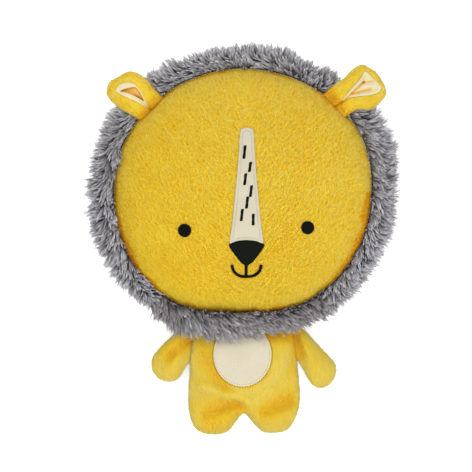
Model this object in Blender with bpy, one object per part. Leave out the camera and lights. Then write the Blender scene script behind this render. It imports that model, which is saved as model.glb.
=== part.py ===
"""Plush lion lying on its back: a round cushion head with a fur mane, folded ears and a small limp body.

Metres, +Z up out of the face, +Y towards the top of the head, the table at z = 0.
Left and right are the viewer's.
"""

import math

import bmesh
import bpy
from mathutils import Matrix, Vector

# Cloth and clearances
GAP = 0.0003
PLUSH = 0.0018
FLAT_CUT = 0.0005

# Head
FACE_HALF_WIDTH = 0.1016
FACE_HALF_HEIGHT = 0.0974
BROW_POWER = 2.0
CHIN_POWER = 2.3
FACE_CROWN = 0.034
HEAD_BACK_CROWN = 0.0285
CROWN_POWER = 0.6

# Mane
MANE_WIDTH = 0.0220
MANE_TOP = 0.0140
MANE_UNDER = 0.0085
LOCK_COUNT = 30
LOCK_DEPTH = 0.0040
CHIN_START = 231.0
CHIN_END = 309.0
CHIN_UNDER = 0.0070
CHIN_TIP_RISE = 0.0010

# Ears
EAR_LENGTH = 0.0390
EAR_FRONT_CROWN = 0.0068
EAR_BACK_CROWN = 0.0025
EAR_BEARING = 42.3
EAR_LEFT_LEAN = 45.0
EAR_RIGHT_LEAN = 41.0
EAR_TUCK = 0.0030
EAR_HEIGHT = 0.0080
EAR_FOLD_EDGE = 0.0021
POCKET_DEPTH = 0.0046
POCKET_LIP = 0.0012
LINING = 0.0011
EAR_DIP_HALF_ANGLE = 12.0
EAR_DIP_FADE_ANGLE = 6.0

# Face features
FEATURE_SHIFT = 0.0028
BLAZE_TOP = 0.0507
BLAZE_TOP_HALF_WIDTH = 0.0052
BLAZE_FOOT_HALF_WIDTH = 0.0134
CREAM_CLOTH = 0.0009
DASH_WIDTH = 0.0022
THREAD_HEIGHT = 0.0007
NOSE_TOP = -0.0396
NOSE_CORNER_DROP = 0.0042
NOSE_HEIGHT = 0.0198
NOSE_HALF_WIDTH = 0.0144
NOSE_THICKNESS = 0.0016
MOUTH_STEM = 0.0096
MOUTH_HALF_WIDTH = 0.0116
MOUTH_RISE = 0.0098
MOUTH_LINE = 0.0015
EYE_RADIUS = 0.0053
EYE_THICKNESS = 0.0014
EYE_LEFT_X = -0.0470
EYE_LEFT_Y = -0.0315
EYE_RIGHT_X = 0.0518
EYE_RIGHT_Y = -0.0294

# Neck and body
NECK_LENGTH = 0.0076
NECK_THICKNESS = 0.0050
NECK_SEAM_SHARE = 0.93
NECK_HALF_WIDTH = 0.0355
TORSO_LENGTH = 0.0640
TORSO_FRONT_CROWN = 0.0120
TORSO_BACK_CROWN = 0.0125
SHOULDER_HALF_WIDTH = 0.0385
SHOULDER_DROP = 0.0035
ARMPIT_HALF_WIDTH = 0.0425
ARMPIT_DROP = 0.0305
HIP_HALF_WIDTH = 0.0434
HIP_CORNER = 0.0025
PATCH_HALF_WIDTH = 0.0225
PATCH_HALF_HEIGHT = 0.0246
PATCH_DROP = 0.0015
PATCH_SHIFT = -0.0005
FOLD_EDGE = 0.0026
FOLD_SLOPE = 0.50
AXIS_LIFT = 0.0004

# Legs
LEG_LENGTH = 0.0254
LEG_FRONT_CROWN = 0.0112
LEG_BACK_CROWN = 0.0098
FOOT_MIDDLE = 0.0094

# Arms
ARM_LEFT_LENGTH = 0.0380
ARM_LEFT_HALF_WIDTH = 0.0128
ARM_LEFT_DROP_ANGLE = 44.0
ARM_RIGHT_LENGTH = 0.0420
ARM_RIGHT_HALF_WIDTH = 0.0117
ARM_RIGHT_DROP_ANGLE = 48.4
ARM_TIP = 0.0120
ARM_FRONT_CROWN = 0.0085
ARM_BACK_CROWN = 0.0075
ARM_DROOP = 0.0046

# Resolution
FACE_STEPS = 48
EAR_RAYS = 22
SMALL_STEPS = 12
PATCH_STEPS = 28
OUTER_SHARES = (1.0, 0.985, 0.94, 0.86, 0.74, 0.56, 0.32, 0.0)
INNER_SHARES = (1.0, 0.96, 0.86, 0.66, 0.36, 0.0)
LIMB_SHARES = (1.0, 0.96, 0.85, 0.66, 0.38, 0.0)
LIMB_INNER_SHARES = (1.0, 0.90, 0.64, 0.0)
BADGE_SHARES = (1.0, 0.88, 0.58, 0.28, 0.0)
SMALL_BADGE_SHARES = (1.0, 0.80, 0.0)
SMOOTH_ANGLE = 50.0
SLACK_SHARE = 0.0001

# Section of the mane: shares of its width, then of its height above or below the seam
MANE_TOP_SHARES = ((0.0, 0.22), (0.10, 0.66), (0.34, 1.0), (0.64, 0.90), (0.88, 0.50))
MANE_UNDER_SHARES = ((0.80, -0.62), (0.42, -1.0), (0.0, -0.45))
# Depth of a lock's notch at its four columns, from notch to tip
LOCK_SHARES = (1.0, 0.38, 0.0, 0.38)

# Dashes on the blaze: shares of its foot's half width across, and of its length down to the top and long
DASH_SHARES = (
    (-0.134, 0.155, 0.116),
    (0.194, 0.299, 0.089),
    (-0.090, 0.398, 0.103),
    (0.254, 0.503, 0.101),
    (0.022, 0.601, 0.104),
    (-0.291, 0.709, 0.104),
    (0.388, 0.750, 0.101),
)

# Outline of an ear and of its opening, as shares of the ear's length: outwards, then towards the crown
EAR_SHARES = (
    (0.0, -0.318), (0.08, -0.343), (0.31, -0.423), (0.56, -0.513), (0.77, -0.526), (0.92, -0.410),
    (0.99, -0.205), (0.99, 0.0), (0.91, 0.205), (0.77, 0.308), (0.56, 0.338), (0.31, 0.333),
    (0.08, 0.333), (0.0, 0.318),
)
OPENING_SHARES = (
    (0.10, -0.035), (0.28, -0.135), (0.50, -0.220), (0.70, -0.280), (0.82, -0.275), (0.87, -0.160),
    (0.86, -0.030), (0.79, 0.075), (0.66, 0.095), (0.45, 0.055), (0.26, 0.010),
)
EAR_CENTRE_SHARES = (0.56, -0.085)
# Rings from the ear's edge to its opening, then down into the pocket
EAR_RIM_SHARES = (0.0, 0.10, 0.32, 0.65, 1.0)
POCKET_SHARES = ((0.90, 0.45), (0.66, 0.88))

# Outline of a leg: shares of the hip's half width across and of the leg's length down
LEG_SHARES = (
    (0.985, 0.37), (0.905, 0.71), (0.79, 0.92), (0.59, 1.0), (0.405, 0.96), (0.31, 0.875),
    (0.17, 0.62), (0.07, 0.41),
)
LEG_CROTCH_SHARE = 0.33
LEG_CENTRE_SHARES = (0.52, 0.49)

# Places worked out from the sizes above
SEAM_HEIGHT = HEAD_BACK_CROWN + GAP / 2 - FLAT_CUT
HEAD_REACH = FACE_HALF_HEIGHT + GAP + MANE_WIDTH
BODY_REACH = FACE_HALF_HEIGHT + NECK_LENGTH + TORSO_LENGTH + LEG_LENGTH
HEAD_Y = (BODY_REACH - HEAD_REACH) / 2
FOLD_Y = HEAD_Y - FACE_HALF_HEIGHT - NECK_LENGTH
HIP_Y = FOLD_Y - TORSO_LENGTH
FEET_Y = HIP_Y - LEG_LENGTH
NECK_DEPTH = HEAD_BACK_CROWN * (1 - NECK_SEAM_SHARE**2) ** CROWN_POWER
NECK_MIDDLE = SEAM_HEIGHT - GAP / 2 - NECK_DEPTH - GAP - NECK_THICKNESS / 2
SIDES = {"left": -1, "right": 1}
EAR_LEANS = {"left": EAR_LEFT_LEAN, "right": EAR_RIGHT_LEAN}
EYES = {"left": (EYE_LEFT_X, EYE_LEFT_Y), "right": (EYE_RIGHT_X, EYE_RIGHT_Y)}
ARMS = {
    "left": (ARM_LEFT_LENGTH, ARM_LEFT_HALF_WIDTH, ARM_LEFT_DROP_ANGLE),
    "right": (ARM_RIGHT_LENGTH, ARM_RIGHT_HALF_WIDTH, ARM_RIGHT_DROP_ANGLE),
}


def clear_scene():
    for old in list(bpy.data.objects):
        bpy.data.objects.remove(old, do_unlink=True)


def make_material(name, colour, roughness, sheen=0.0):
    material = bpy.data.materials.new(name)
    material.use_nodes = True
    shader = material.node_tree.nodes["Principled BSDF"]
    shader.inputs["Base Color"].default_value = (*colour, 1.0)
    shader.inputs["Roughness"].default_value = roughness
    shader.inputs["Metallic"].default_value = 0.0
    shader.inputs["Sheen Weight"].default_value = sheen
    material.diffuse_color = (*colour, 1.0)
    return material


def make_materials():
    return {
        "plush": make_material("yellow_plush", (0.78, 0.50, 0.035), 0.9, 0.4),
        "fur": make_material("grey_fur", (0.20, 0.19, 0.21), 0.95, 0.3),
        "cream": make_material("cream_cloth", (0.79, 0.74, 0.61), 0.85, 0.2),
        "black": make_material("black_cloth", (0.012, 0.013, 0.012), 0.8, 0.1),
        "thread": make_material("black_thread", (0.010, 0.010, 0.012), 0.55),
        "fibre": make_material("white_fibre", (0.86, 0.86, 0.84), 0.95),
    }


class Shell:
    """Rings of points and the faces between them, made into one closed solid."""

    def __init__(self):
        self.points = []
        self.faces = []

    def ring(self, points):
        start = len(self.points)
        self.points += [tuple(p) for p in points]
        return list(range(start, len(self.points)))

    def bridge(self, first, second):
        for i in range(len(first)):
            j = (i + 1) % len(first)
            self.faces.append((first[i], first[j], second[j], second[i]))

    def fan(self, ring, point):
        (tip,) = self.ring([point])
        for i in range(len(ring)):
            self.faces.append((ring[i], ring[(i + 1) % len(ring)], tip))

    def cap(self, ring):
        self.faces.append(tuple(ring))

    def build(self, name, material, parent=None):
        mesh = bpy.data.meshes.new(name)
        mesh.from_pydata(self.points, [], self.faces)
        work = bmesh.new()
        work.from_mesh(mesh)
        bmesh.ops.recalc_face_normals(work, faces=work.faces)
        work.to_mesh(mesh)
        work.free()
        mesh.shade_smooth()
        mesh.set_sharp_from_angle(angle=math.radians(SMOOTH_ANGLE))
        mesh.materials.append(material)
        solid = bpy.data.objects.new(name, mesh)
        bpy.context.scene.collection.objects.link(solid)
        if parent:
            solid.parent = parent
            solid.matrix_parent_inverse = parent.matrix_world.inverted()
        return solid


class Fold:
    """A line in plan where a stuffed form thins to a hinge: its edge there, and how fast it swells."""

    def __init__(self, point, inward, edge=FOLD_EDGE, slope=FOLD_SLOPE):
        self.point = Vector(point)
        self.inward = Vector(inward).normalized()
        self.edge = edge
        self.slope = slope

    def limit(self, place):
        return self.edge + self.slope * max((place - self.point).dot(self.inward), 0)

    def inset(self, amount):
        thinnest = self.edge / 5
        point = self.point + self.inward * amount
        return Fold(point, self.inward, max(self.edge - amount, thinnest), self.slope)


class Pad:
    """A stuffed form: an outline in plan that swells in front of and behind a middle surface."""

    def __init__(self, outline, centre, front, back, middle, folds=()):
        self.outline = [Vector(p) for p in outline]
        self.centre = Vector(centre)
        self.crowns = {1: front, -1: back}
        self.middle = middle
        self.folds = folds

    def ring(self, share):
        return [self.centre + (p - self.centre) * share for p in self.outline]

    def share(self, place):
        """How far out a place lies: 0 at the centre and 1 on the outline."""
        ray = place - self.centre
        for i, corner in enumerate(self.outline):
            a = corner - self.centre
            b = self.outline[(i + 1) % len(self.outline)] - self.centre
            area = a.x * b.y - a.y * b.x
            along_a = (ray.x * b.y - ray.y * b.x) / area
            along_b = (a.x * ray.y - a.y * ray.x) / area
            if min(along_a, along_b) >= -SLACK_SHARE:
                return along_a + along_b
        return 1.0

    def swell(self, place, share, side):
        """Height of the crown at a place, held down smoothly towards each fold."""
        height = self.crowns[side] * max(1 - share**2, 0) ** CROWN_POWER
        for fold in self.folds:
            if height > 0:
                height = (height**-4 + fold.limit(place) ** -4) ** -0.25
        return height

    def height(self, place, share, side):
        return self.middle(place) + side * (GAP / 2 + self.swell(place, share, side))

    def front(self, place):
        return self.height(place, self.share(place), 1)

    def inset(self, amount):
        """The form that fits inside this one, the same distance from it all round."""
        count = len(self.outline)
        inner = []
        for i, corner in enumerate(self.outline):
            before = (corner - self.outline[i - 1]).normalized()
            after = (self.outline[(i + 1) % count] - corner).normalized()
            first = Vector((-before.y, before.x))
            second = Vector((-after.y, after.x))
            middle = (first + second).normalized()
            inner.append(corner + middle * amount / max(middle.dot(first), 0.5))
        crowns = (self.crowns[1] - amount, self.crowns[-1] - amount)
        folds = [fold.inset(amount) for fold in self.folds]
        return Pad(inner, self.centre, *crowns, self.middle, folds)


def at_height(places, heights):
    return [(p.x, p.y, z) for p, z in zip(places, heights)]


def add_dome(shell, pad, side, shares):
    """Rings of one half of a pad; gives back the ring on its outline.

    The rings end in a point where the last share is 0, or else in a flat face.
    """
    rings = []
    for share in shares:
        places = pad.ring(share) if share else [pad.centre]
        points = at_height(places, [pad.height(p, share, side) for p in places])
        if share:
            rings.append(shell.ring(points))
        else:
            shell.fan(rings[-1], points[0])
    if share:
        shell.cap(rings[-1])
    for outer, inner in zip(rings, rings[1:]):
        shell.bridge(outer, inner)
    return rings[0]


def make_panel(name, pad, side, material, parent=None, shares=OUTER_SHARES, inner_shares=INNER_SHARES):
    """One cloth half of a stuffed form, its turned-in edge flat along the seam."""
    shell = Shell()
    outer = add_dome(shell, pad, side, shares)
    inner = add_dome(shell, pad.inset(PLUSH), side, inner_shares or INNER_SHARES)
    shell.bridge(outer, inner)
    return shell.build(name, material, parent)


def make_stuffing(name, pad, material, parent=None, shares=INNER_SHARES):
    """The fibre that fills a form, clear of its cloth."""
    fill = pad.inset(PLUSH + GAP)
    shell = Shell()
    front = add_dome(shell, fill, 1, shares)
    back = add_dome(shell, fill, -1, shares)
    shell.bridge(front, back)
    return shell.build(name, material, parent)


def make_stuffed(name, pad, materials, parent=None, shares=LIMB_SHARES, inner_shares=LIMB_INNER_SHARES):
    """The front and back panels of a limb or a torso, and its stuffing."""
    plush = materials["plush"]
    make_panel(f"{name}_front_panel", pad, 1, plush, parent, shares, inner_shares)
    make_panel(f"{name}_back_panel", pad, -1, plush, parent, shares, inner_shares)
    make_stuffing(f"{name}_stuffing", pad, materials["fibre"], parent, inner_shares)


def make_badge(name, outline, centre, ground, thickness, material, parent=None, shares=BADGE_SHARES):
    """A sewn-on piece that follows the cloth under it, thinner at its edge."""
    badge = Pad(outline, centre, 0, 0, ground)
    shell = Shell()
    edges = []
    for level in (0, 1):
        rings = []
        for share in shares:
            places = badge.ring(share) if share else [badge.centre]
            full = thickness * (1 - 0.5 * share**4) * level
            points = at_height(places, [ground(p) + GAP + full for p in places])
            if share:
                rings.append(shell.ring(points))
            else:
                shell.fan(rings[-1], points[0])
        for outer, inner in zip(rings, rings[1:]):
            shell.bridge(outer, inner)
        edges.append(rings[0])
    shell.bridge(*edges)
    return shell.build(name, material, parent)


def make_strip(name, quads, ground, thickness, material, parent=None):
    """A line of embroidery: quads in plan that share their corners, raised off the cloth under them."""
    keys = {}
    for quad in quads:
        for corner in quad:
            keys.setdefault(tuple(corner), len(keys))
    places = [Vector(key) for key in keys]
    shell = Shell()
    low = shell.ring(at_height(places, [ground(p) + GAP for p in places]))
    high = shell.ring(at_height(places, [ground(p) + GAP + thickness for p in places]))
    sides = {}
    for quad in quads:
        corners = [keys[tuple(corner)] for corner in quad]
        shell.faces.append(tuple(high[i] for i in corners))
        shell.faces.append(tuple(low[i] for i in reversed(corners)))
        for a, b in zip(corners, corners[1:] + corners[:1]):
            sides.setdefault(frozenset((a, b)), []).append((a, b))
    for edges in sides.values():
        if len(edges) == 1:
            a, b = edges[0]
            shell.faces.append((low[a], low[b], high[b], high[a]))
    return shell.build(name, material, parent)


def make_axis(name, point, direction, parent=None):
    """An empty on a fold, its X axis along it."""
    axis = bpy.data.objects.new(name, None)
    along = Vector(direction).normalized()
    turn = along.to_track_quat("X", "Z").to_matrix().to_4x4()
    bpy.context.scene.collection.objects.link(axis)
    axis.matrix_world = Matrix.Translation(Vector(point)) @ turn
    if parent:
        bpy.context.view_layer.update()
        axis.parent = parent
        axis.matrix_parent_inverse = parent.matrix_world.inverted()
    bpy.context.view_layer.update()
    print(name, "at", [round(v, 5) for v in point], "along", [round(v, 5) for v in along])
    return axis


def on_ellipse(centre, half_x, half_y, start, stop, steps):
    """Points along a stretch of an ellipse, both ends with it unless it closes."""
    closed = abs(stop - start) >= 360
    turns = [start + (stop - start) * i / steps for i in range(steps if closed else steps + 1)]
    return [
        (centre[0] + half_x * math.cos(math.radians(t)), centre[1] + half_y * math.sin(math.radians(t)))
        for t in turns
    ]


def along(first, last, steps):
    """Points from first towards last, without last."""
    return [Vector(first).lerp(Vector(last), i / steps) for i in range(steps)]


def face_radius(angle):
    """Distance from the head's centre to the edge of the face, in one direction."""
    power = BROW_POWER if math.sin(angle) > 0 else CHIN_POWER
    across = abs(math.cos(angle)) / FACE_HALF_WIDTH
    up = abs(math.sin(angle)) / FACE_HALF_HEIGHT
    return (across**power + up**power) ** (-1 / power)


def on_head(angle, radius):
    return Vector((math.cos(angle) * radius, HEAD_Y + math.sin(angle) * radius))


def head_pad():
    turns = [math.tau * i / FACE_STEPS for i in range(FACE_STEPS)]
    outline = [on_head(t, face_radius(t)) for t in turns]
    return Pad(outline, (0, HEAD_Y), FACE_CROWN, HEAD_BACK_CROWN, lambda place: SEAM_HEIGHT)


def body_middle(place):
    """Height of the body's seam, which slopes from the neck down to the feet."""
    share = (FOLD_Y - place.y) / (FOLD_Y - FEET_Y)
    return NECK_MIDDLE + (FOOT_MIDDLE - NECK_MIDDLE) * share


def make_head(materials):
    pad = head_pad()
    flat_share = math.sqrt(1 - (1 - FLAT_CUT / HEAD_BACK_CROWN) ** (1 / CROWN_POWER))
    back_shares = (*OUTER_SHARES[:-2], flat_share)
    make_panel("face_panel", pad, 1, materials["plush"])
    make_panel("head_back_panel", pad, -1, materials["plush"], shares=back_shares)
    make_stuffing("head_stuffing", pad, materials["fibre"])
    return pad


def ear_dip(angle):
    """1 where an ear lies on the mane and presses its fur down, 0 away from the ears."""
    turn = math.degrees(angle) % 360
    off = min(abs(turn - EAR_BEARING), abs(turn - (180 - EAR_BEARING)))
    share = min(max((off - EAR_DIP_HALF_ANGLE) / EAR_DIP_FADE_ANGLE, 0), 1)
    return 1 - share * share * (3 - 2 * share)


def mane_section(angle, column, chin):
    """The mane's closed section in one direction from the head's centre."""
    width = MANE_WIDTH - LOCK_DEPTH * LOCK_SHARES[column % len(LOCK_SHARES)]
    inner = face_radius(angle) + GAP
    pressed = EAR_HEIGHT - EAR_BACK_CROWN - GAP - GAP
    top = MANE_TOP + (pressed - MANE_TOP) * ear_dip(angle)
    tip = CHIN_TIP_RISE if chin else 0
    section = [(share, part * top) for share, part in MANE_TOP_SHARES]
    section.append((1.0, tip))
    for share, part in MANE_UNDER_SHARES:
        under = -part * (CHIN_UNDER if chin else MANE_UNDER)
        section.append((share, tip * share - under * ((1 - share) if chin else 1)))
    points = []
    for share, height in section:
        place = on_head(angle, inner + width * share)
        points.append((place.x, place.y, SEAM_HEIGHT + height))
    return points


def make_mane(name, start, end, materials, chin):
    """One stretch of the mane, with pointed locks along its edge."""
    columns = LOCK_COUNT * len(LOCK_SHARES)
    step = 360 / columns
    first, last = round(start / step), round(end / step)
    trim = math.degrees(GAP / 2 / FACE_HALF_WIDTH)
    shell = Shell()
    rings = []
    for column in range(first, last + 1):
        turn = min(max(column * step, start + trim), end - trim)
        rings.append(shell.ring(mane_section(math.radians(turn), column, chin)))
    for before, after in zip(rings, rings[1:]):
        shell.bridge(before, after)
    shell.cap(rings[0])
    shell.cap(rings[-1])
    shell.build(name, materials["fur"])


def nose_top(x):
    """The nose's upper edge, which the blaze's foot follows."""
    share = (x - FEATURE_SHIFT) / NOSE_HALF_WIDTH
    return HEAD_Y + NOSE_TOP - NOSE_CORNER_DROP * share * share


def make_blaze(face, materials):
    foot_steps = 6
    top_centre = (FEATURE_SHIFT, HEAD_Y + BLAZE_TOP - BLAZE_TOP_HALF_WIDTH)
    outline = on_ellipse(top_centre, BLAZE_TOP_HALF_WIDTH, BLAZE_TOP_HALF_WIDTH, 0, 180, 6)
    left = Vector((FEATURE_SHIFT - BLAZE_FOOT_HALF_WIDTH, 0))
    right = Vector((FEATURE_SHIFT + BLAZE_FOOT_HALF_WIDTH, 0))
    left.y = nose_top(left.x) + GAP
    right.y = nose_top(right.x) + GAP
    outline += along(outline[-1], left, 5)[1:]
    foot = along(left, right, foot_steps)
    outline += [(p.x, nose_top(p.x) + GAP) for p in foot]
    outline += along(right, outline[0], 5)
    centre = (FEATURE_SHIFT, HEAD_Y + (BLAZE_TOP + NOSE_TOP) / 2)
    make_badge("blaze", outline, centre, face.front, CREAM_CLOTH, materials["cream"])


def make_dashes(face, materials):
    length = BLAZE_TOP - NOSE_TOP
    blaze_top = HEAD_Y + BLAZE_TOP
    half = DASH_WIDTH / 2
    steps = 3

    def ground(place):
        return face.front(place) + GAP + CREAM_CLOTH

    for number, (across, down, long) in enumerate(DASH_SHARES, 1):
        x = FEATURE_SHIFT + across * BLAZE_FOOT_HALF_WIDTH
        top = Vector((x, blaze_top - down * length))
        foot = Vector((x, top.y - long * length))
        places = [*along(top, foot, steps), foot]
        inward = half / 2
        widths = [inward, half, half, inward]
        quads = []
        for i in range(steps):
            a, b = places[i], places[i + 1]
            quads.append(
                (
                    (a.x + widths[i], a.y),
                    (a.x - widths[i], a.y),
                    (b.x - widths[i + 1], b.y),
                    (b.x + widths[i + 1], b.y),
                )
            )
        make_strip(f"dash_{number}", quads, ground, THREAD_HEIGHT, materials["thread"])


def make_nose(face, materials):
    top_steps = 6
    left = FEATURE_SHIFT - NOSE_HALF_WIDTH
    right = FEATURE_SHIFT + NOSE_HALF_WIDTH
    foot = Vector((FEATURE_SHIFT, HEAD_Y + NOSE_TOP - NOSE_HEIGHT))
    xs = [right + (left - right) * i / top_steps for i in range(top_steps + 1)]
    outline = [(x, nose_top(x)) for x in xs]
    round_off = NOSE_CORNER_DROP / 2
    outline.append((left + round_off / 2, nose_top(left) - round_off))
    outline += along(outline[-1], (foot.x - round_off, foot.y + round_off), 3)[1:]
    outline.append((foot.x - round_off / 2, foot.y))
    outline.append((foot.x + round_off / 2, foot.y))
    outline += along((foot.x + round_off, foot.y + round_off), (right, nose_top(right) - round_off), 3)
    outline.append((right - round_off / 2, nose_top(right) - round_off))
    centre = (FEATURE_SHIFT, HEAD_Y + NOSE_TOP - NOSE_HEIGHT / 3)
    make_badge("nose", outline, centre, face.front, NOSE_THICKNESS, materials["black"])


def make_mouth(face, materials):
    """One embroidered line: a stem under the nose and a shallow arc to either side of its foot."""
    half = MOUTH_LINE / 2
    steps = 6
    top = HEAD_Y + NOSE_TOP - NOSE_HEIGHT - GAP
    foot = top - MOUTH_STEM
    quads = []
    for sign in (-1, 1):
        rows = []
        for i in range(steps + 1):
            turn = math.radians(-90 + 84 * i / steps)
            reach = MOUTH_HALF_WIDTH - half
            if i == 0:
                rows.append(((sign * half, foot + half), (sign * half, foot - half)))
                continue
            inner = (sign * (half + (reach - half) * math.cos(turn)), MOUTH_RISE * (1 + math.sin(turn)))
            outer_reach = reach + MOUTH_LINE
            outer = (sign * (half + (outer_reach - half) * math.cos(turn)), inner[1])
            rows.append(
                (
                    (inner[0], foot + half + inner[1] * (1 - half / MOUTH_RISE)),
                    (outer[0], foot - half + outer[1]),
                )
            )
        for (a_in, a_out), (b_in, b_out) in zip(rows, rows[1:]):
            quads.append([a_in, b_in, b_out, a_out][::sign])
    bar = [(half, foot + half), (-half, foot + half), (-half, foot - half), (half, foot - half)]
    stem = [(half, top), (-half, top), (-half, foot + half), (half, foot + half)]
    placed = [[(FEATURE_SHIFT + x, y) for x, y in quad] for quad in (*quads, bar, stem)]
    make_strip("mouth", placed, face.front, THREAD_HEIGHT, materials["thread"])


def make_eyes(face, materials):
    for side, (x, y) in EYES.items():
        centre = (x, HEAD_Y + y)
        outline = on_ellipse(centre, EYE_RADIUS, EYE_RADIUS, 0, 360, SMALL_STEPS + 4)
        make_badge(
            f"eye_{side}", outline, centre, face.front, EYE_THICKNESS, materials["black"],
            shares=SMALL_BADGE_SHARES,
        )


def ray_points(outline, centre, rays):
    """Where evenly turned rays from the centre meet an outline."""
    shape = Pad(outline, centre, 0, 0, None)
    points = []
    for i in range(rays):
        ray = Vector((math.cos(math.tau * i / rays), math.sin(math.tau * i / rays)))
        reach = ray * EAR_LENGTH
        points.append(shape.centre + reach / shape.share(shape.centre + reach))
    return points


def make_ear(side, materials):
    """A folded ear: the yellow outer with its pocket, and the cream lining that lies in the pocket."""
    sign = SIDES[side]
    bearing = math.radians(EAR_BEARING if sign > 0 else 180 - EAR_BEARING)
    lean = math.radians(EAR_LEANS[side] if sign > 0 else 180 - EAR_LEANS[side])
    root = on_head(bearing, face_radius(bearing) - EAR_TUCK)
    out = Vector((math.cos(lean), math.sin(lean)))
    crown = Vector((-out.y, out.x)) * sign

    def placed(shares):
        return [root + (out * u + crown * v) * EAR_LENGTH for u, v in shares][::sign]

    (centre,) = placed([EAR_CENTRE_SHARES])
    edge = ray_points(placed(EAR_SHARES), centre, EAR_RAYS)
    rim = ray_points(placed(OPENING_SHARES), centre, EAR_RAYS)
    height = SEAM_HEIGHT + EAR_HEIGHT
    fold = Fold(root, out, EAR_FOLD_EDGE)
    pad = Pad(edge, centre, EAR_FRONT_CROWN, EAR_BACK_CROWN, lambda place: height, [fold])
    axis_point = (root.x, root.y, height + EAR_FOLD_EDGE + AXIS_LIFT)
    axis = make_axis(f"ear_{side}_flip", axis_point, (out.y, -out.x, 0))

    def top(place, share):
        return pad.height(place, share, 1)

    shell = Shell()
    rings = []
    for share in EAR_RIM_SHARES:
        places = [a.lerp(b, share) for a, b in zip(edge, rim)]
        outward = 1 - share
        rings.append(shell.ring(at_height(places, [top(p, outward) for p in places])))
    lips = [top(p, 0) for p in rim]
    for share, depth in POCKET_SHARES:
        places = [centre + (p - centre) * share for p in rim]
        rings.append(shell.ring(at_height(places, [z - POCKET_DEPTH * depth for z in lips])))
    floor = height + EAR_FRONT_CROWN - POCKET_DEPTH
    shell.fan(rings[-1], (centre.x, centre.y, floor))
    for outer, inner in zip(rings, rings[1:]):
        shell.bridge(outer, inner)
    back = add_dome(shell, pad, -1, LIMB_SHARES)
    shell.bridge(rings[0], back)
    shell.build(f"ear_{side}_outer", materials["plush"], axis)

    lining = Shell()
    low = []
    high = []
    for share, depth in ((0.90, 0.45), (0.66, 0.88)):
        places = [centre + (p - centre) * (share - LINING / EAR_LENGTH * 2) for p in rim]
        heights = [z - POCKET_DEPTH * depth + POCKET_LIP for z in lips]
        low.append(lining.ring(at_height(places, heights)))
        high.append(lining.ring(at_height(places, [z + LINING for z in heights])))
    lining.fan(low[-1], (centre.x, centre.y, floor + POCKET_LIP))
    lining.fan(high[-1], (centre.x, centre.y, floor + POCKET_LIP + LINING))
    lining.bridge(low[0], low[1])
    lining.bridge(high[0], high[1])
    lining.bridge(low[0], high[0])
    lining.build(f"ear_{side}_lining", materials["cream"], axis)


def make_neck(materials):
    """The empty end of the body bag, pressed flat and sewn to the head's back just inside its rim."""
    steps = 6
    power = CHIN_POWER
    inner = []
    for i in range(steps + 1):
        x = -NECK_HALF_WIDTH + 2 * NECK_HALF_WIDTH * i / steps
        rest = NECK_SEAM_SHARE**power - abs(x / FACE_HALF_WIDTH) ** power
        inner.append(Vector((x, HEAD_Y - FACE_HALF_HEIGHT * rest ** (1 / power))))
    low = FOLD_Y + GAP / 2
    outline = along((-NECK_HALF_WIDTH, low), (NECK_HALF_WIDTH, low), steps)
    outline.append(Vector((NECK_HALF_WIDTH, low)))
    outline += inner[::-1]
    centre = (0, (low + inner[steps // 2].y) / 2)
    half = NECK_THICKNESS / 2
    pad = Pad(outline, centre, half, half, lambda place: NECK_MIDDLE)
    shell = Shell()
    edges = []
    for side in (1, -1):
        rings = [shell.ring(at_height(pad.outline, [NECK_MIDDLE + side * half / 2] * len(outline)))]
        rings.append(shell.ring(at_height(pad.ring(0.92), [NECK_MIDDLE + side * half] * len(outline))))
        shell.bridge(*rings)
        shell.cap(rings[-1])
        edges.append(rings[0])
    shell.bridge(*edges)
    shell.build("neck", materials["plush"])


def torso_pad():
    top, foot = FOLD_Y - GAP / 2, HIP_Y + GAP / 2
    right = [
        Vector((NECK_HALF_WIDTH, top)),
        Vector((SHOULDER_HALF_WIDTH, FOLD_Y - SHOULDER_DROP)),
        Vector((ARMPIT_HALF_WIDTH, FOLD_Y - ARMPIT_DROP)),
        Vector((HIP_HALF_WIDTH, HIP_Y + HIP_CORNER)),
        Vector((HIP_HALF_WIDTH - HIP_CORNER, foot)),
    ]
    left = [Vector((-p.x, p.y)) for p in right]
    corners = [*left, *right[::-1]]
    steps = (1, 3, 3, 1, 6, 1, 3, 3, 1, 5)
    outline = []
    for i, count in enumerate(steps):
        outline += along(corners[i], corners[(i + 1) % len(corners)], count)
    centre = (0, (FOLD_Y + HIP_Y) / 2)
    folds = [Fold((0, FOLD_Y), (0, -1)), Fold((0, HIP_Y), (0, 1))]
    return Pad(outline, centre, TORSO_FRONT_CROWN, TORSO_BACK_CROWN, body_middle, folds)


def make_torso(materials):
    place = Vector((0, FOLD_Y))
    height = body_middle(place) + FOLD_EDGE + AXIS_LIFT
    axis = make_axis("neck_fold", (0, FOLD_Y, height), (-1, 0, 0))
    pad = torso_pad()
    make_stuffed("torso", pad, materials, axis, OUTER_SHARES[:-2] + (0.40, 0.0), INNER_SHARES)
    centre = (PATCH_SHIFT, FOLD_Y - PATCH_DROP - PATCH_HALF_HEIGHT)
    outline = on_ellipse(centre, PATCH_HALF_WIDTH, PATCH_HALF_HEIGHT, 0, 360, PATCH_STEPS)
    make_badge("belly_patch", outline, centre, pad.front, CREAM_CLOTH, materials["cream"], axis)
    return axis


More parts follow.
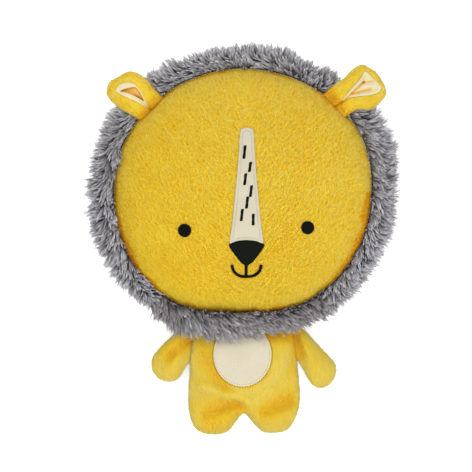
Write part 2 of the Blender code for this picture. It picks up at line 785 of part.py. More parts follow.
def make_leg(side, materials, torso_axis):
    sign = SIDES[side]
    top = HIP_Y - GAP / 2
    root = [(GAP / 2, top), (HIP_HALF_WIDTH - GAP, top)]
    outline = [Vector((x, y)) for x, y in along(*root, 4)]
    outline.append(Vector(root[1]))
    outline += [Vector((u * HIP_HALF_WIDTH, HIP_Y - v * LEG_LENGTH)) for u, v in LEG_SHARES]
    outline.append(Vector((GAP / 2, HIP_Y - LEG_CROTCH_SHARE * LEG_LENGTH)))
    centre = Vector((sign * LEG_CENTRE_SHARES[0] * HIP_HALF_WIDTH, HIP_Y - LEG_CENTRE_SHARES[1] * LEG_LENGTH))
    outline = [Vector((sign * p.x, p.y)) for p in outline][::-sign]
    pad = Pad(outline, centre, LEG_FRONT_CROWN, LEG_BACK_CROWN, body_middle, [Fold((0, HIP_Y), (0, -1))])
    height = body_middle(Vector((0, HIP_Y))) + FOLD_EDGE + AXIS_LIFT
    point = (sign * HIP_HALF_WIDTH / 2, HIP_Y, height)
    axis = make_axis(f"leg_{side}_fold", point, (-1, 0, 0), torso_axis)
    make_stuffed(f"leg_{side}", pad, materials, axis)


def make_arm(side, materials, torso_axis):
    sign = SIDES[side]
    length, half, drop_angle = ARMS[side]
    shoulder = Vector((SHOULDER_HALF_WIDTH, FOLD_Y - SHOULDER_DROP))
    armpit = Vector((ARMPIT_HALF_WIDTH, FOLD_Y - ARMPIT_DROP))
    seam = armpit - shoulder
    outward = Vector((-seam.y, seam.x)).normalized()
    turn = math.radians(drop_angle)
    out = Vector((math.cos(turn), -math.sin(turn)))
    upper = Vector((math.sin(turn), math.cos(turn)))
    middle = (shoulder + armpit) / 2
    tip = on_ellipse((length - ARM_TIP, 0), ARM_TIP, half, -90, 90, 6)
    local = [(length * 0.45, -half * 0.9), *tip, (length * 0.34, half), (length * 0.08, half)]
    lobe = [middle + out * t + upper * n for t, n in local]
    first, last = shoulder + outward * GAP, armpit + outward * GAP
    outline = [*lobe, *along(first, last, 4), last]
    centre = middle + out * length * 0.42
    mirrored = [Vector((sign * p.x, p.y)) for p in outline][::sign]
    inward = Vector((sign * outward.x, outward.y))
    root = Vector((sign * middle.x, middle.y))

    def arm_middle(place):
        reach = max((place - root).dot(inward), 0)
        return body_middle(place) - ARM_DROOP * reach / (length * math.cos(turn))

    fold = Fold(root, inward)
    pad = Pad(
        mirrored, (sign * centre.x, centre.y), ARM_FRONT_CROWN, ARM_BACK_CROWN, arm_middle, [fold]
    )
    lift = FOLD_EDGE + AXIS_LIFT
    top, low = (Vector((sign * p.x, p.y, body_middle(p) + lift)) for p in (shoulder, armpit))
    direction = (low - top) * sign
    axis = make_axis(f"arm_{side}_fold", (top + low) / 2, direction, torso_axis)
    make_stuffed(f"arm_{side}", pad, materials, axis)


def main():
    clear_scene()
    materials = make_materials()
    face = make_head(materials)
    make_mane("mane", CHIN_END - 360, CHIN_START, materials, chin=False)
    make_mane("mane_chin", CHIN_START, CHIN_END, materials, chin=True)
    make_blaze(face, materials)
    make_dashes(face, materials)
    make_nose(face, materials)
    make_mouth(face, materials)
    make_eyes(face, materials)
    make_neck(materials)
    torso_axis = make_torso(materials)
    for side in SIDES:
        make_ear(side, materials)
        make_arm(side, materials, torso_axis)
        make_leg(side, materials, torso_axis)


main()
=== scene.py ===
"""The looks of the plush lion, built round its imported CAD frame: pile, fur, stitches, cloth, floor, light."""

import math

import bpy
import numpy as np
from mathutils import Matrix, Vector
from mathutils.geometry import delaunay_2d_cdt


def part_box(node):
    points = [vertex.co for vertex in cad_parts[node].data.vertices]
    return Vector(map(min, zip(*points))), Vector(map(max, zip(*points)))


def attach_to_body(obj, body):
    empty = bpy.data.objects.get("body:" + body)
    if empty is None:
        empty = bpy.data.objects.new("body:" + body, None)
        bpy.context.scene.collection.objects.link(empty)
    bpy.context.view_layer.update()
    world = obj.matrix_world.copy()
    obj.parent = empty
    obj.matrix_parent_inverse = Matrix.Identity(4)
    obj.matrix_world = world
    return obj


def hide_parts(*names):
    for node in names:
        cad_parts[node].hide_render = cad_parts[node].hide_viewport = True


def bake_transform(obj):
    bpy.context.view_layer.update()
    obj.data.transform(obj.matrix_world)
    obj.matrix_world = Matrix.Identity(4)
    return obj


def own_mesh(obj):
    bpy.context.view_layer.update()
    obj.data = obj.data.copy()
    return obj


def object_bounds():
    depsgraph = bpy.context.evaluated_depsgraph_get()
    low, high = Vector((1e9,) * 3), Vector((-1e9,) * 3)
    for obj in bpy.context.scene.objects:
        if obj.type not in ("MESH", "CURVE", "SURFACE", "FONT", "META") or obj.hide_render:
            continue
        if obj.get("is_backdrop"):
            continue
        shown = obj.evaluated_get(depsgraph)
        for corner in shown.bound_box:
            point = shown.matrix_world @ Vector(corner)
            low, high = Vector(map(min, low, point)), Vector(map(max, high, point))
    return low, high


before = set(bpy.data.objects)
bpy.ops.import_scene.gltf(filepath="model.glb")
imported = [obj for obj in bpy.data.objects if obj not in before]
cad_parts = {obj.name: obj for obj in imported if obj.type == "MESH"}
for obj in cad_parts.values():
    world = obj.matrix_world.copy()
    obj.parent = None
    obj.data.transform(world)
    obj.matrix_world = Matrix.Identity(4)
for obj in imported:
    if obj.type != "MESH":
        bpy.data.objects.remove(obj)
CAD_LOW, CAD_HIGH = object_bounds()
MM = 0.001

# Photograph: millimetres to a pixel, and where the head's centre lies in it
PIXEL = 0.8 * MM
IMAGE = 472
HEAD_PIXEL = (243.1, 191.0)
LENS, SENSOR = 180, 36
CAMERA_RISE = IMAGE * PIXEL * LENS / SENSOR

# Levels and allowances
WELD = 0.02 * MM
HALF_CUT = 0.15 * MM
PILE_SINK = 1.1 * MM
LOWEST_CLOTH = 0.9 * MM
LOWEST_PILE = 0.1 * MM
DRAWN_IN = 0.04

# The head, read from the frame
face_low, face_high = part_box("face_panel")
back_low, back_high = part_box("head_back_panel")
HEAD_Y = (face_low.y + face_high.y) / 2
FACE_A = (face_high.x - face_low.x) / 2
FACE_B = (face_high.y - face_low.y) / 2
SEAM_Z = (face_low.z + back_high.z) / 2
FACE_CROWN = face_high.z - SEAM_Z
BACK_FLAT = 0.5 * MM
BACK_CROWN = SEAM_Z - back_low.z + BACK_FLAT
BROW_POWER, CHIN_POWER, CROWN_POWER = 2.0, 2.3, 0.6

# The body, read from the frame
torso_low, torso_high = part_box("torso_front_panel")
neck_low, neck_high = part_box("neck")
FOLD_Y = torso_high.y + HALF_CUT
HIP_Y = torso_low.y - HALF_CUT
FEET_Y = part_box("leg_left_front_panel")[0].y
NECK_MIDDLE = (neck_low.z + neck_high.z) / 2
FOOT_MIDDLE = 9.4 * MM


def photo(x, y, z=None):
    """A pixel of the photograph in the row frame, on the level z; higher levels look larger from above."""
    shrink = 1.0 if z is None else 1 - (z - SEAM_Z) / CAMERA_RISE
    across, down = (x - IMAGE / 2) * shrink + IMAGE / 2, (y - IMAGE / 2) * shrink + IMAGE / 2
    return ((across - HEAD_PIXEL[0]) * PIXEL, HEAD_Y - (down - HEAD_PIXEL[1]) * PIXEL)


def photo_line(points, z=None):
    return np.array([photo(x, y, z) for x, y in points])


# Noise and gentle steps


def lattice(ix, iy, iz, seed):
    """A repeatable random number from 0 to 1 for each whole-number place."""
    h = (ix * 374761393 + iy * 668265263 + iz * 2147483647 + seed * 974634777) & 0xFFFFFFFF
    h = ((h ^ (h >> 13)) * 1274126177) & 0xFFFFFFFF
    return ((h ^ (h >> 16)) & 0xFFFFFF) / float(0xFFFFFF)


def noise(points, size, seed=0):
    """Smooth noise from -1 to 1 at points, with blobs of the given size."""
    p = np.asarray(points, float) / size
    if p.shape[1] == 2:
        p = np.column_stack([p, np.zeros(len(p))])
    base = np.floor(p).astype(np.int64)
    part = p - base
    part = part * part * (3 - 2 * part)
    total = np.zeros(len(p))
    for dx in (0, 1):
        for dy in (0, 1):
            for dz in (0, 1):
                weight = (
                    (part[:, 0] if dx else 1 - part[:, 0])
                    * (part[:, 1] if dy else 1 - part[:, 1])
                    * (part[:, 2] if dz else 1 - part[:, 2])
                )
                total += weight * lattice(base[:, 0] + dx, base[:, 1] + dy, base[:, 2] + dz, seed)
    return total * 2 - 1


def smooth_step(x, low, high):
    t = np.clip((x - low) / (high - low), 0, 1)
    return t * t * (3 - 2 * t)


def bell(x, width):
    """1 where x is nothing, fading to 0 on both sides over the given width."""
    return np.exp(-((x / width) ** 2))


def domed(gap, width):
    """The rise of a rounded edge: 0 on the edge, and 1 from the given width inwards."""
    return np.sqrt(np.clip(1 - (1 - np.clip(gap / width, 0, 1)) ** 2, 0, 1))


def unit(vectors, tiny=1e-12):
    return vectors / (np.linalg.norm(vectors, axis=1, keepdims=True) + tiny)


# Meshes


def link(name, mesh, material=None, smooth=True):
    piece = bpy.data.objects.new(name, mesh)
    bpy.context.scene.collection.objects.link(piece)
    if material:
        mesh.materials.append(material)
    if smooth:
        mesh.shade_smooth()
    return piece


def mesh_from(name, points, faces, material=None, smooth=True):
    mesh = bpy.data.meshes.new(name)
    mesh.from_pydata([tuple(p) for p in points], [], [tuple(int(i) for i in f) for f in faces])
    mesh.update()
    return link(name, mesh, material, smooth)


def fast_mesh(name, points, corners, counts, uv, material):
    """A mesh from flat arrays, with its strands' map of tone and height."""
    mesh = bpy.data.meshes.new(name)
    mesh.vertices.add(len(points))
    mesh.vertices.foreach_set("co", points.astype(np.float32).ravel())
    mesh.loops.add(len(corners))
    mesh.loops.foreach_set("vertex_index", corners.astype(np.int32))
    mesh.polygons.add(len(counts))
    starts = np.concatenate([[0], np.cumsum(counts)[:-1]]).astype(np.int32)
    mesh.polygons.foreach_set("loop_start", starts)
    mesh.update(calc_edges=True)
    layer = mesh.uv_layers.new(name="OFBake")
    layer.data.foreach_set("uv", uv[corners].astype(np.float32).ravel())
    return link(name, mesh, material)


def strands(name, paths, radii, tones, material):
    """Tapered three-sided strands, closed at the root.

    paths is (strand, level, xyz), and the last level is the tip.
    """
    count, levels = paths.shape[:2]
    along = unit(paths[:, -1] - paths[:, 0])
    helper = np.where(np.abs(along[:, 2:]) < 0.8, [[0.0, 0.0, 1.0]], [[1.0, 0.0, 0.0]])
    u = unit(np.cross(along, helper))
    v = np.cross(along, u)
    body = levels - 1
    points = np.empty((count, body * 3 + 1, 3))
    first_turn = np.linspace(0, 2 * np.pi, count, endpoint=False) * 7.31
    for j in range(body):
        for k in range(3):
            turn = first_turn + 2 * np.pi * k / 3
            offset = u * np.cos(turn)[:, None] + v * np.sin(turn)[:, None]
            points[:, j * 3 + k] = paths[:, j] + offset * radii[:, j, None]
    points[:, -1] = paths[:, -1]
    quads = [
        (j * 3 + k, j * 3 + (k + 1) % 3, j * 3 + 3 + (k + 1) % 3, j * 3 + 3 + k)
        for j in range(body - 1) for k in range(3)
    ]
    last = (body - 1) * 3
    tris = [(0, 2, 1)] + [(last + k, last + (k + 1) % 3, body * 3) for k in range(3)]
    stride = body * 3 + 1
    base = (np.arange(count) * stride)[:, None]
    local = np.array([i for face in quads + tris for i in face])
    corners = (base + local[None, :]).ravel()
    counts = np.tile([4] * len(quads) + [3] * len(tris), count)
    height = np.append(np.repeat(np.arange(body) / body, 3), 1.0)
    uv = np.empty((count, stride, 2))
    uv[:, :, 0] = np.clip(tones, 0, 1)[:, None] * 0.98 + 0.01
    uv[:, :, 1] = height[None, :] * 0.98 + 0.01
    return fast_mesh(name, points.reshape(-1, 3), corners, counts, uv.reshape(-1, 2), material)


def inside(outline, points):
    """Which points lie inside a closed outline, in plan."""
    x, y = points[:, 0], points[:, 1]
    found = np.zeros(len(points), bool)
    for (ax, ay), (bx, by) in zip(outline, np.roll(outline, -1, axis=0)):
        if ay == by:
            continue
        crosses = (ay > y) != (by > y)
        found ^= crosses & (x < (bx - ax) * (y - ay) / (by - ay) + ax)
    return found


def distance_to(outline, points, closed=True):
    """Distance in plan from each point to a line of points."""
    a = outline if closed else outline[:-1]
    b = np.roll(outline, -1, axis=0) if closed else outline[1:]
    best = np.full(len(points), 1e9)
    for p, q in zip(a, b):
        d = q - p
        t = np.clip(((points[:, :2] - p) @ d) / max(d @ d, 1e-18), 0, 1)
        gap = points[:, :2] - p - t[:, None] * d
        best = np.minimum(best, np.hypot(gap[:, 0], gap[:, 1]))
    return best


def rounded(points, step, closed=True):
    """A smooth line through given points, with its points a step apart."""
    p = np.asarray(points, float)
    count = len(p)
    line = []
    for i in range(count if closed else count - 1):
        beside = [(i + k) % count if closed else min(max(i + k, 0), count - 1) for k in (-1, 0, 1, 2)]
        p0, p1, p2, p3 = p[beside]
        for t in np.linspace(0, 1, 12, endpoint=False):
            line.append(
                0.5 * (2 * p1 + (p2 - p0) * t + (2 * p0 - 5 * p1 + 4 * p2 - p3) * t**2
                       + (3 * p1 - p0 - 3 * p2 + p3) * t**3)
            )
    if not closed:
        line.append(p[-1])
    line = np.array(line)
    ring = np.vstack([line, line[:1]]) if closed else line
    length = np.concatenate([[0], np.cumsum(np.linalg.norm(np.diff(ring, axis=0), axis=1))])
    total = length[-1]
    n = max(int(round(total / step)), 3)
    at = np.linspace(0, total, n, endpoint=not closed)
    return np.column_stack([np.interp(at, length, ring[:, k]) for k in range(p.shape[1])])


def offset_in(outline, amount):
    """An outline that runs anticlockwise, moved inwards."""
    tangent = unit(np.roll(outline, -1, axis=0) - np.roll(outline, 1, axis=0))
    return outline + np.column_stack([-tangent[:, 1], tangent[:, 0]]) * amount


def anticlockwise(outline):
    x, y = outline[:, 0], outline[:, 1]
    area = (x * np.roll(y, -1) - np.roll(x, -1) * y).sum()
    return outline if area > 0 else outline[::-1]


def plan_grid(outline, spacing):
    """Rows of evenly spaced places over an outline's box, every other row shifted by half a space."""
    low, high = outline.min(0), outline.max(0)
    rows = []
    y = low[1]
    while y < high[1]:
        xs = np.arange(low[0] + (len(rows) % 2) * spacing / 2, high[0], spacing)
        rows.append(np.column_stack([xs, np.full(len(xs), y)]))
        y += spacing * 0.866
    return np.vstack(rows)


def plan_mesh(outline, spacing, rings, hole=None):
    """Triangles that fill an outline, less a hole: points in plan, and faces."""
    grid = plan_grid(outline, spacing)
    grid = grid[inside(outline, grid)]
    grid = grid[distance_to(outline, grid) > max(rings) + spacing * 0.55]
    inner = []
    for amount in rings:
        ring = offset_in(outline, amount)
        good = inside(outline, ring) & (distance_to(outline, ring) > amount * 0.85)
        inner.append(ring[good])
    if hole is not None:
        inner = [ring[~inside(hole, ring) & (distance_to(hole, ring) > spacing * 0.4)] for ring in inner]
        grid = grid[~inside(hole, grid) & (distance_to(hole, grid) > spacing * 0.5)]
        inner = [hole, *inner]
    points = np.vstack([outline, *inner, grid])
    count = len(outline)
    edges = [(i, (i + 1) % count) for i in range(count)]
    if hole is not None:
        edges += [(count + i, count + (i + 1) % len(hole)) for i in range(len(hole))]
    scaled = [Vector((float(x) * 1000, float(y) * 1000)) for x, y in points]
    made, _, faces, *_ = delaunay_2d_cdt(scaled, edges, [], 1, 1e-6)
    places = np.array([(p.x, p.y) for p in made]) / 1000
    faces = np.array([f if turn_of(places, f) > 0 else (f[0], f[2], f[1]) for f in faces])
    if hole is not None:
        faces = faces[~inside(hole, places[faces].mean(1))]
    return places, faces


def turn_of(places, face):
    a, b, c = places[face[0]], places[face[1]], places[face[2]]
    return (b[0] - a[0]) * (c[1] - a[1]) - (b[1] - a[1]) * (c[0] - a[0])


class Swell:
    """How high a bag of one outline stands when it is filled, as a smooth field over its plan."""

    def __init__(self, outline, cell, rounds=900):
        self.low = outline.min(0) - cell * 2
        size = np.ceil((outline.max(0) + cell * 2 - self.low) / cell).astype(int) + 1
        self.cell = cell
        ys, xs = np.mgrid[0 : size[1], 0 : size[0]]
        places = np.column_stack([xs.ravel(), ys.ravel()]) * cell + self.low
        within = inside(outline, places).reshape(size[1], size[0])
        field = np.zeros((size[1], size[0]))
        for _ in range(rounds):
            around = (
                np.roll(field, 1, 0) + np.roll(field, -1, 0) + np.roll(field, 1, 1) + np.roll(field, -1, 1)
            )
            field = np.where(within, (around + cell * cell * 2) / 4, 0)
        self.depth = np.sqrt(np.maximum(field, 0))
        self.most = self.depth.max()

    def share(self, points):
        at = (points[:, :2] - self.low) / self.cell
        base = np.floor(at).astype(int)
        base = np.clip(base, 0, np.array(self.depth.shape[::-1]) - 2)
        part = np.clip(at - base, 0, 1)
        x, y = base.T
        fx, fy = part.T
        d = self.depth
        value = (d[y, x] * (1 - fx) + d[y, x + 1] * fx) * (1 - fy)
        value += (d[y + 1, x] * (1 - fx) + d[y + 1, x + 1] * fx) * fy
        return value / self.most


def used_only(points, faces):
    """Which points the faces use, and the faces numbered by them alone."""
    used = np.unique(faces)
    renumber = np.full(len(points), -1)
    renumber[used] = np.arange(len(used))
    return used, renumber[faces]


def closed_bag(places, faces, top, bottom, edge):
    """Top and bottom sheets welded along the outline: points and faces."""
    count = len(places)
    low_index = np.arange(count) + count
    low_index[edge] = np.flatnonzero(edge)
    points = np.vstack([np.column_stack([places, top]), np.column_stack([places, bottom])])
    points[:count][edge, 2] = (top[edge] + bottom[edge]) / 2
    used, faces = used_only(points, np.vstack([faces, low_index[faces][:, ::-1]]))
    return points[used], faces


def normals_of(points, faces):
    """Area-weighted normals at each point of a triangle mesh."""
    a, b, c = (points[faces[:, k]] for k in range(3))
    cross = np.cross(b - a, c - a)
    total = np.zeros_like(points)
    for k in range(3):
        np.add.at(total, faces[:, k], cross)
    return unit(total, 1e-15)


def scatter(points, faces, density, generator):
    """Random places on a triangle mesh, with their normals."""
    normals = normals_of(points, faces)
    a, b, c = (points[faces[:, k]] for k in range(3))
    area = np.linalg.norm(np.cross(b - a, c - a), axis=1) / 2
    want = area * density
    number = np.floor(want + generator.random(len(want))).astype(int)
    face = np.repeat(np.arange(len(faces)), number)
    r1, r2 = generator.random(len(face)), generator.random(len(face))
    flip = r1 + r2 > 1
    r1[flip], r2[flip] = 1 - r1[flip], 1 - r2[flip]
    w = np.column_stack([1 - r1 - r2, r1, r2])
    corner = faces[face]
    place = (points[corner] * w[:, :, None]).sum(1)
    normal = (normals[corner] * w[:, :, None]).sum(1)
    return place, unit(normal, 1e-15)


def carry(piece, body, nodes=()):
    """A piece follows one body and stands for the solids named."""
    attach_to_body(piece, body)
    if nodes:
        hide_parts(*nodes)
    return piece


# Materials


def new_material(name, roughness, specular=0.5):
    material = bpy.data.materials.new(name)
    material.use_nodes = True
    tree = material.node_tree
    shader = tree.nodes["Principled BSDF"]
    shader.inputs["Metallic"].default_value = 0.0
    shader.inputs["Roughness"].default_value = roughness
    shader.inputs["Specular IOR Level"].default_value = specular
    return material, tree, shader


def add_ramp(tree, stops, factor):
    ramp = tree.nodes.new("ShaderNodeValToRGB")
    ramp.color_ramp.elements[0].position = stops[0][0]
    ramp.color_ramp.elements[0].color = (*stops[0][1], 1)
    ramp.color_ramp.elements[1].position = stops[-1][0]
    ramp.color_ramp.elements[1].color = (*stops[-1][1], 1)
    for place, colour in stops[1:-1]:
        element = ramp.color_ramp.elements.new(place)
        element.color = (*colour, 1)
    tree.links.new(factor, ramp.inputs["Fac"])
    return ramp.outputs["Color"]


def mix_colour(tree, factor, first, second, kind="MIX"):
    mix = tree.nodes.new("ShaderNodeMix")
    mix.data_type = "RGBA"
    mix.blend_type = kind
    for index, value in ((0, factor), (6, first), (7, second)):
        if hasattr(value, "links"):
            tree.links.new(value, mix.inputs[index])
        elif index == 0:
            mix.inputs[index].default_value = value
        else:
            mix.inputs[index].default_value = (*value, 1)
    return mix.outputs[2]


def noise_node(tree, scale, detail=3.0, roughness=0.55):
    node = tree.nodes.new("ShaderNodeTexNoise")
    node.inputs["Scale"].default_value = scale
    node.inputs["Detail"].default_value = detail
    node.inputs["Roughness"].default_value = roughness
    tree.links.new(tree.nodes.new("ShaderNodeTexCoord").outputs["Object"], node.inputs["Vector"])
    return node.outputs["Fac"]


def add_bump(tree, shader, height, strength, distance):
    bump = tree.nodes.new("ShaderNodeBump")
    bump.inputs["Strength"].default_value = strength
    bump.inputs["Distance"].default_value = distance
    tree.links.new(height, bump.inputs["Height"])
    tree.links.new(bump.outputs["Normal"], shader.inputs["Normal"])


def shade_across(tree, colour, slope, level, stops):
    """A colour shaded from one side of the object to the other, along a slope in its own axes."""
    dot = tree.nodes.new("ShaderNodeVectorMath")
    dot.operation = "DOT_PRODUCT"
    dot.inputs[1].default_value = slope
    tree.links.new(tree.nodes.new("ShaderNodeTexCoord").outputs["Object"], dot.inputs[0])
    shift = tree.nodes.new("ShaderNodeMath")
    shift.inputs[1].default_value = level
    tree.links.new(dot.outputs["Value"], shift.inputs[0])
    return mix_colour(tree, 1.0, colour, add_ramp(tree, stops, shift.outputs[0]), "MULTIPLY")


def strand_material(name, stops_low, stops_high, roughness, gloss, sheen=0.0, by_tone=False, drift=None):
    """Colour runs from root to tip, and from one tone of strand to another.

    Each list of stops follows the height for one tone or, by_tone, the tone for root and tip.
    """
    material, tree, shader = new_material(name, roughness, gloss)
    uv = tree.nodes.new("ShaderNodeUVMap")
    uv.uv_map = "OFBake"
    split = tree.nodes.new("ShaderNodeSeparateXYZ")
    tree.links.new(uv.outputs["UV"], split.inputs[0])
    along, across = ("X", "Y") if by_tone else ("Y", "X")
    low = add_ramp(tree, stops_low, split.outputs[along])
    high = add_ramp(tree, stops_high, split.outputs[along])
    colour = mix_colour(tree, split.outputs[across], low, high)
    if drift:
        colour = shade_across(tree, colour, *drift)
    tree.links.new(colour, shader.inputs["Base Color"])
    shader.inputs["Sheen Weight"].default_value = sheen
    shader.inputs["Sheen Roughness"].default_value = 0.4
    return material


def plush_skin_material():
    """The knitted ground under the pile: deeper and warmer than the tips, a deep orange that is painted shade
    in the gaps.
    """
    material, tree, shader = new_material("plush_ground", 0.9, 0.03)
    clouds = noise_node(tree, 60.0)
    fine = noise_node(tree, 1400.0, 2.0)
    base = add_ramp(tree, [(0.3, (0.78, 0.52, 0.022)), (0.7, (0.82, 0.62, 0.034))], clouds)
    colour = mix_colour(tree, fine, base, (0.80, 0.57, 0.028))
    tree.links.new(colour, shader.inputs["Base Color"])
    add_bump(tree, shader, fine, 0.5, 0.4 * MM)
    return material


def cream_material(name, tint):
    """Smooth short-nap cloth with a fine felted grain."""
    material, tree, shader = new_material(name, 0.9, 0.06)
    grain = noise_node(tree, 900.0, 4.0, 0.7)
    clouds = noise_node(tree, 70.0, 2.0)
    first = add_ramp(tree, [(0.25, (0.50, 0.44, 0.30)), (0.75, (0.60, 0.56, 0.43))], grain)
    second = add_ramp(tree, [(0.3, (0.64, 0.59, 0.46)), (0.7, (0.56, 0.50, 0.37))], clouds)
    colour = mix_colour(tree, 1.0, mix_colour(tree, 0.35, first, second), tint, "MULTIPLY")
    tree.links.new(colour, shader.inputs["Base Color"])
    shader.inputs["Sheen Weight"].default_value = 0.05
    add_bump(tree, shader, grain, 0.35, 0.3 * MM)
    return material


def thread_material(name, colour, light, roughness, specular):
    material, tree, shader = new_material(name, roughness, specular)
    grain = noise_node(tree, 2600.0, 2.0)
    tree.links.new(add_ramp(tree, [(0.3, colour), (0.75, light)], grain), shader.inputs["Base Color"])
    add_bump(tree, shader, grain, 0.3, 0.1 * MM)
    return material


def fur_ground_material():
    """The dark cloth that the mane's fur grows from."""
    material, tree, shader = new_material("fur_ground", 0.95)
    stops = [(0.3, (0.016, 0.015, 0.017)), (0.7, (0.045, 0.042, 0.048))]
    tree.links.new(add_ramp(tree, stops, noise_node(tree, 500.0)), shader.inputs["Base Color"])
    return material


def pile_colours(name, root, tip, slope, level, drift):
    """Plush pile: a root and a tip colour at each of four tones, shaded by three colours of drift; the deep
    orange of roots and low tones is painted shade.
    """
    tones = (0.0, 0.5, 0.75, 1.0)
    return strand_material(name, list(zip(tones, root)), list(zip(tones, tip)), 0.9, 0.03, by_tone=True,
                           drift=(slope, level, list(zip((0.0, 0.5, 1.0), drift))))


# The face is deeper in colour at the lower left and paler at the upper right
pile_material = pile_colours(
    "plush_pile",
    [(0.70, 0.20, 0.003), (0.74, 0.42, 0.020), (0.79, 0.58, 0.060), (0.86, 0.72, 0.150)],
    [(0.84, 0.36, 0.010), (0.82, 0.59, 0.085), (0.87, 0.765, 0.235), (0.94, 0.85, 0.380)],
    (2.4, 5.2, 0.0), 0.33, [(0.97, 0.90, 0.33), (0.97, 0.965, 0.78), (0.99, 1.03, 1.26)],
)
# Painted shade: the body's pile goes from paler on the left to a little darker and deeper on the right, where
# the lamps light it more
body_pile_material = pile_colours(
    "plush_body_pile",
    [(0.84, 0.27, 0.004), (0.80, 0.43, 0.022), (0.80, 0.57, 0.080), (0.86, 0.70, 0.170)],
    [(0.95, 0.40, 0.011), (0.86, 0.58, 0.095), (0.845, 0.73, 0.262), (0.905, 0.83, 0.430)],
    (9.0, 0.0, 0.0), 0.5, [(0.95, 1.03, 1.14), (0.94, 1.0, 1.04), (0.925, 0.985, 1.03)],
)
FUR_HEIGHTS = (0.0, 0.35, 0.8, 1.0)
DARK_FUR = [(0.045, 0.043, 0.046), (0.16, 0.15, 0.16), (0.36, 0.34, 0.35), (0.58, 0.52, 0.49)]
LIGHT_FUR = [(0.09, 0.088, 0.096), (0.42, 0.41, 0.44), (0.82, 0.81, 0.85), (0.95, 0.93, 0.93)]
fur_material = strand_material(
    "mane_fur",
    list(zip(FUR_HEIGHTS, DARK_FUR)), list(zip(FUR_HEIGHTS, LIGHT_FUR)), 0.6, 0.2, 0.2,
)
ground_material = plush_skin_material()
cream = cream_material("cream_cloth", (1.03, 1.02, 1.03))
# A slightly darker copy of the cream for the blaze: painted shade, toning down the light on the raised blaze
blaze_cream = cream_material("blaze_cream", (0.96, 0.965, 0.98))
# A lighter, warmer copy of the cream for the ears: painted warm light, so the lining in shade stays cream
ear_cream = cream_material("ear_cream", (1.13, 1.12, 0.92))
# Painted warm bounce light in the creases of the ears' cream cloth; the deeper one also colours the knitted
# back inside the ear's hollow
ear_fold_bounce = cream_material("ear_fold_bounce", (1.34, 1.10, 0.62))
knit_back_and_fold_bounce = cream_material("knit_back_and_fold_bounce", (1.40, 0.86, 0.26))
black_thread = thread_material("black_thread", (0.003, 0.003, 0.003), (0.007, 0.007, 0.007), 0.7, 0.03)
black_felt = thread_material("black_felt", (0.005, 0.006, 0.004), (0.010, 0.011, 0.008), 0.9, 0.03)
cream_thread = thread_material("cream_thread", (0.42, 0.36, 0.25), (0.58, 0.52, 0.38), 0.7, 0.2)
edge_thread = thread_material("edge_thread", (0.84, 0.79, 0.62), (0.94, 0.90, 0.74), 0.8, 0.05)
pit_shade_thread = thread_material("pit_shade_thread", (0.24, 0.11, 0.008), (0.36, 0.18, 0.014), 0.9, 0.03)
fur_ground = fur_ground_material()

# The head


# Where the sewn circle strays outwards or inwards: at a bearing and over a width in degrees, by a share
STRAYS = [(28, 22, 0.030), (322, 20, -0.022), (165, 30, 0.013), (238, 20, 0.014), (268, 13, -0.014)]


def stray(angle):
    total = 0.0
    for middle, width, share in STRAYS:
        gap = (np.degrees(angle) - middle + 180) % 360 - 180
        total = total + share * bell(gap, width)
    return 1 + total


def face_share(x, y):
    """How far out a place lies on the face: 0 at its centre, 1 on its edge."""
    up = y - HEAD_Y
    power = np.where(up > 0, BROW_POWER, CHIN_POWER)
    plain = (np.abs(x / FACE_A) ** power + np.abs(up / FACE_B) ** power) ** (1 / power)
    return plain / stray(np.arctan2(up, x))


def face_radius(angle):
    power = np.where(np.sin(angle) > 0, BROW_POWER, CHIN_POWER)
    across, up = np.abs(np.cos(angle) / FACE_A), np.abs(np.sin(angle) / FACE_B)
    return (across ** power + up ** power) ** (-1 / power) * stray(angle)


def face_height(x, y):
    """The face's cloth before its pile: a filled dome, a little uneven, drawn in at the seam."""
    s = np.clip(face_share(x, y), 0, 1)
    place = np.column_stack([x, y])
    dome = FACE_CROWN * (1 - s * s) ** CROWN_POWER
    uneven = noise(place, 0.045, 3) * 0.9 * MM + noise(place, 0.018, 4) * 0.35 * MM
    return SEAM_Z + dome + uneven * smooth_step(1 - s, 0.0, 0.15)


def face_top(x, y):
    """Height of the pile's tips, which is where sewn-on pieces lie."""
    return face_height(x, y) - PILE_SINK * 0.3


def polar_sheet(height, rings, turns, radius, centre):
    """A disc of rings round a centre: points and triangles."""
    angles = np.arange(turns) * 2 * np.pi / turns
    points, faces = [], []
    for r in rings:
        reach = radius(angles) * r
        x, y = np.cos(angles) * reach + centre[0], np.sin(angles) * reach + centre[1]
        points.append(np.column_stack([x, y, height(x, y)]))
    for j in range(len(rings) - 1):
        a = np.arange(turns) + j * turns
        b = np.roll(np.arange(turns), -1) + j * turns
        faces.append(np.column_stack([a, b, b + turns]))
        faces.append(np.column_stack([a, b + turns, a + turns]))
    tip = height(np.array([centre[0]]), np.array([centre[1]]))[0]
    points.append([[centre[0], centre[1], tip]])
    last = (len(rings) - 1) * turns
    a = np.arange(turns) + last
    faces.append(np.column_stack([a, np.roll(a, -1), np.full(turns, last + turns)]))
    return np.vstack(points), np.vstack(faces)


def head_back_height(x, y):
    s = np.clip(face_share(x, y), 0, 1)
    place = np.column_stack([x, y])
    dome = BACK_CROWN * (1 - s * s) ** CROWN_POWER
    uneven = noise(place, 0.05, 8) * 0.8 * MM * smooth_step(1 - s, 0.0, 0.15)
    return np.maximum(SEAM_Z - dome + uneven + PILE_SINK * smooth_step(1 - s, 0, DRAWN_IN), LOWEST_CLOTH)


def head_front_height(x, y):
    return face_height(x, y) - PILE_SINK * smooth_step(1 - face_share(x, y), 0, DRAWN_IN)


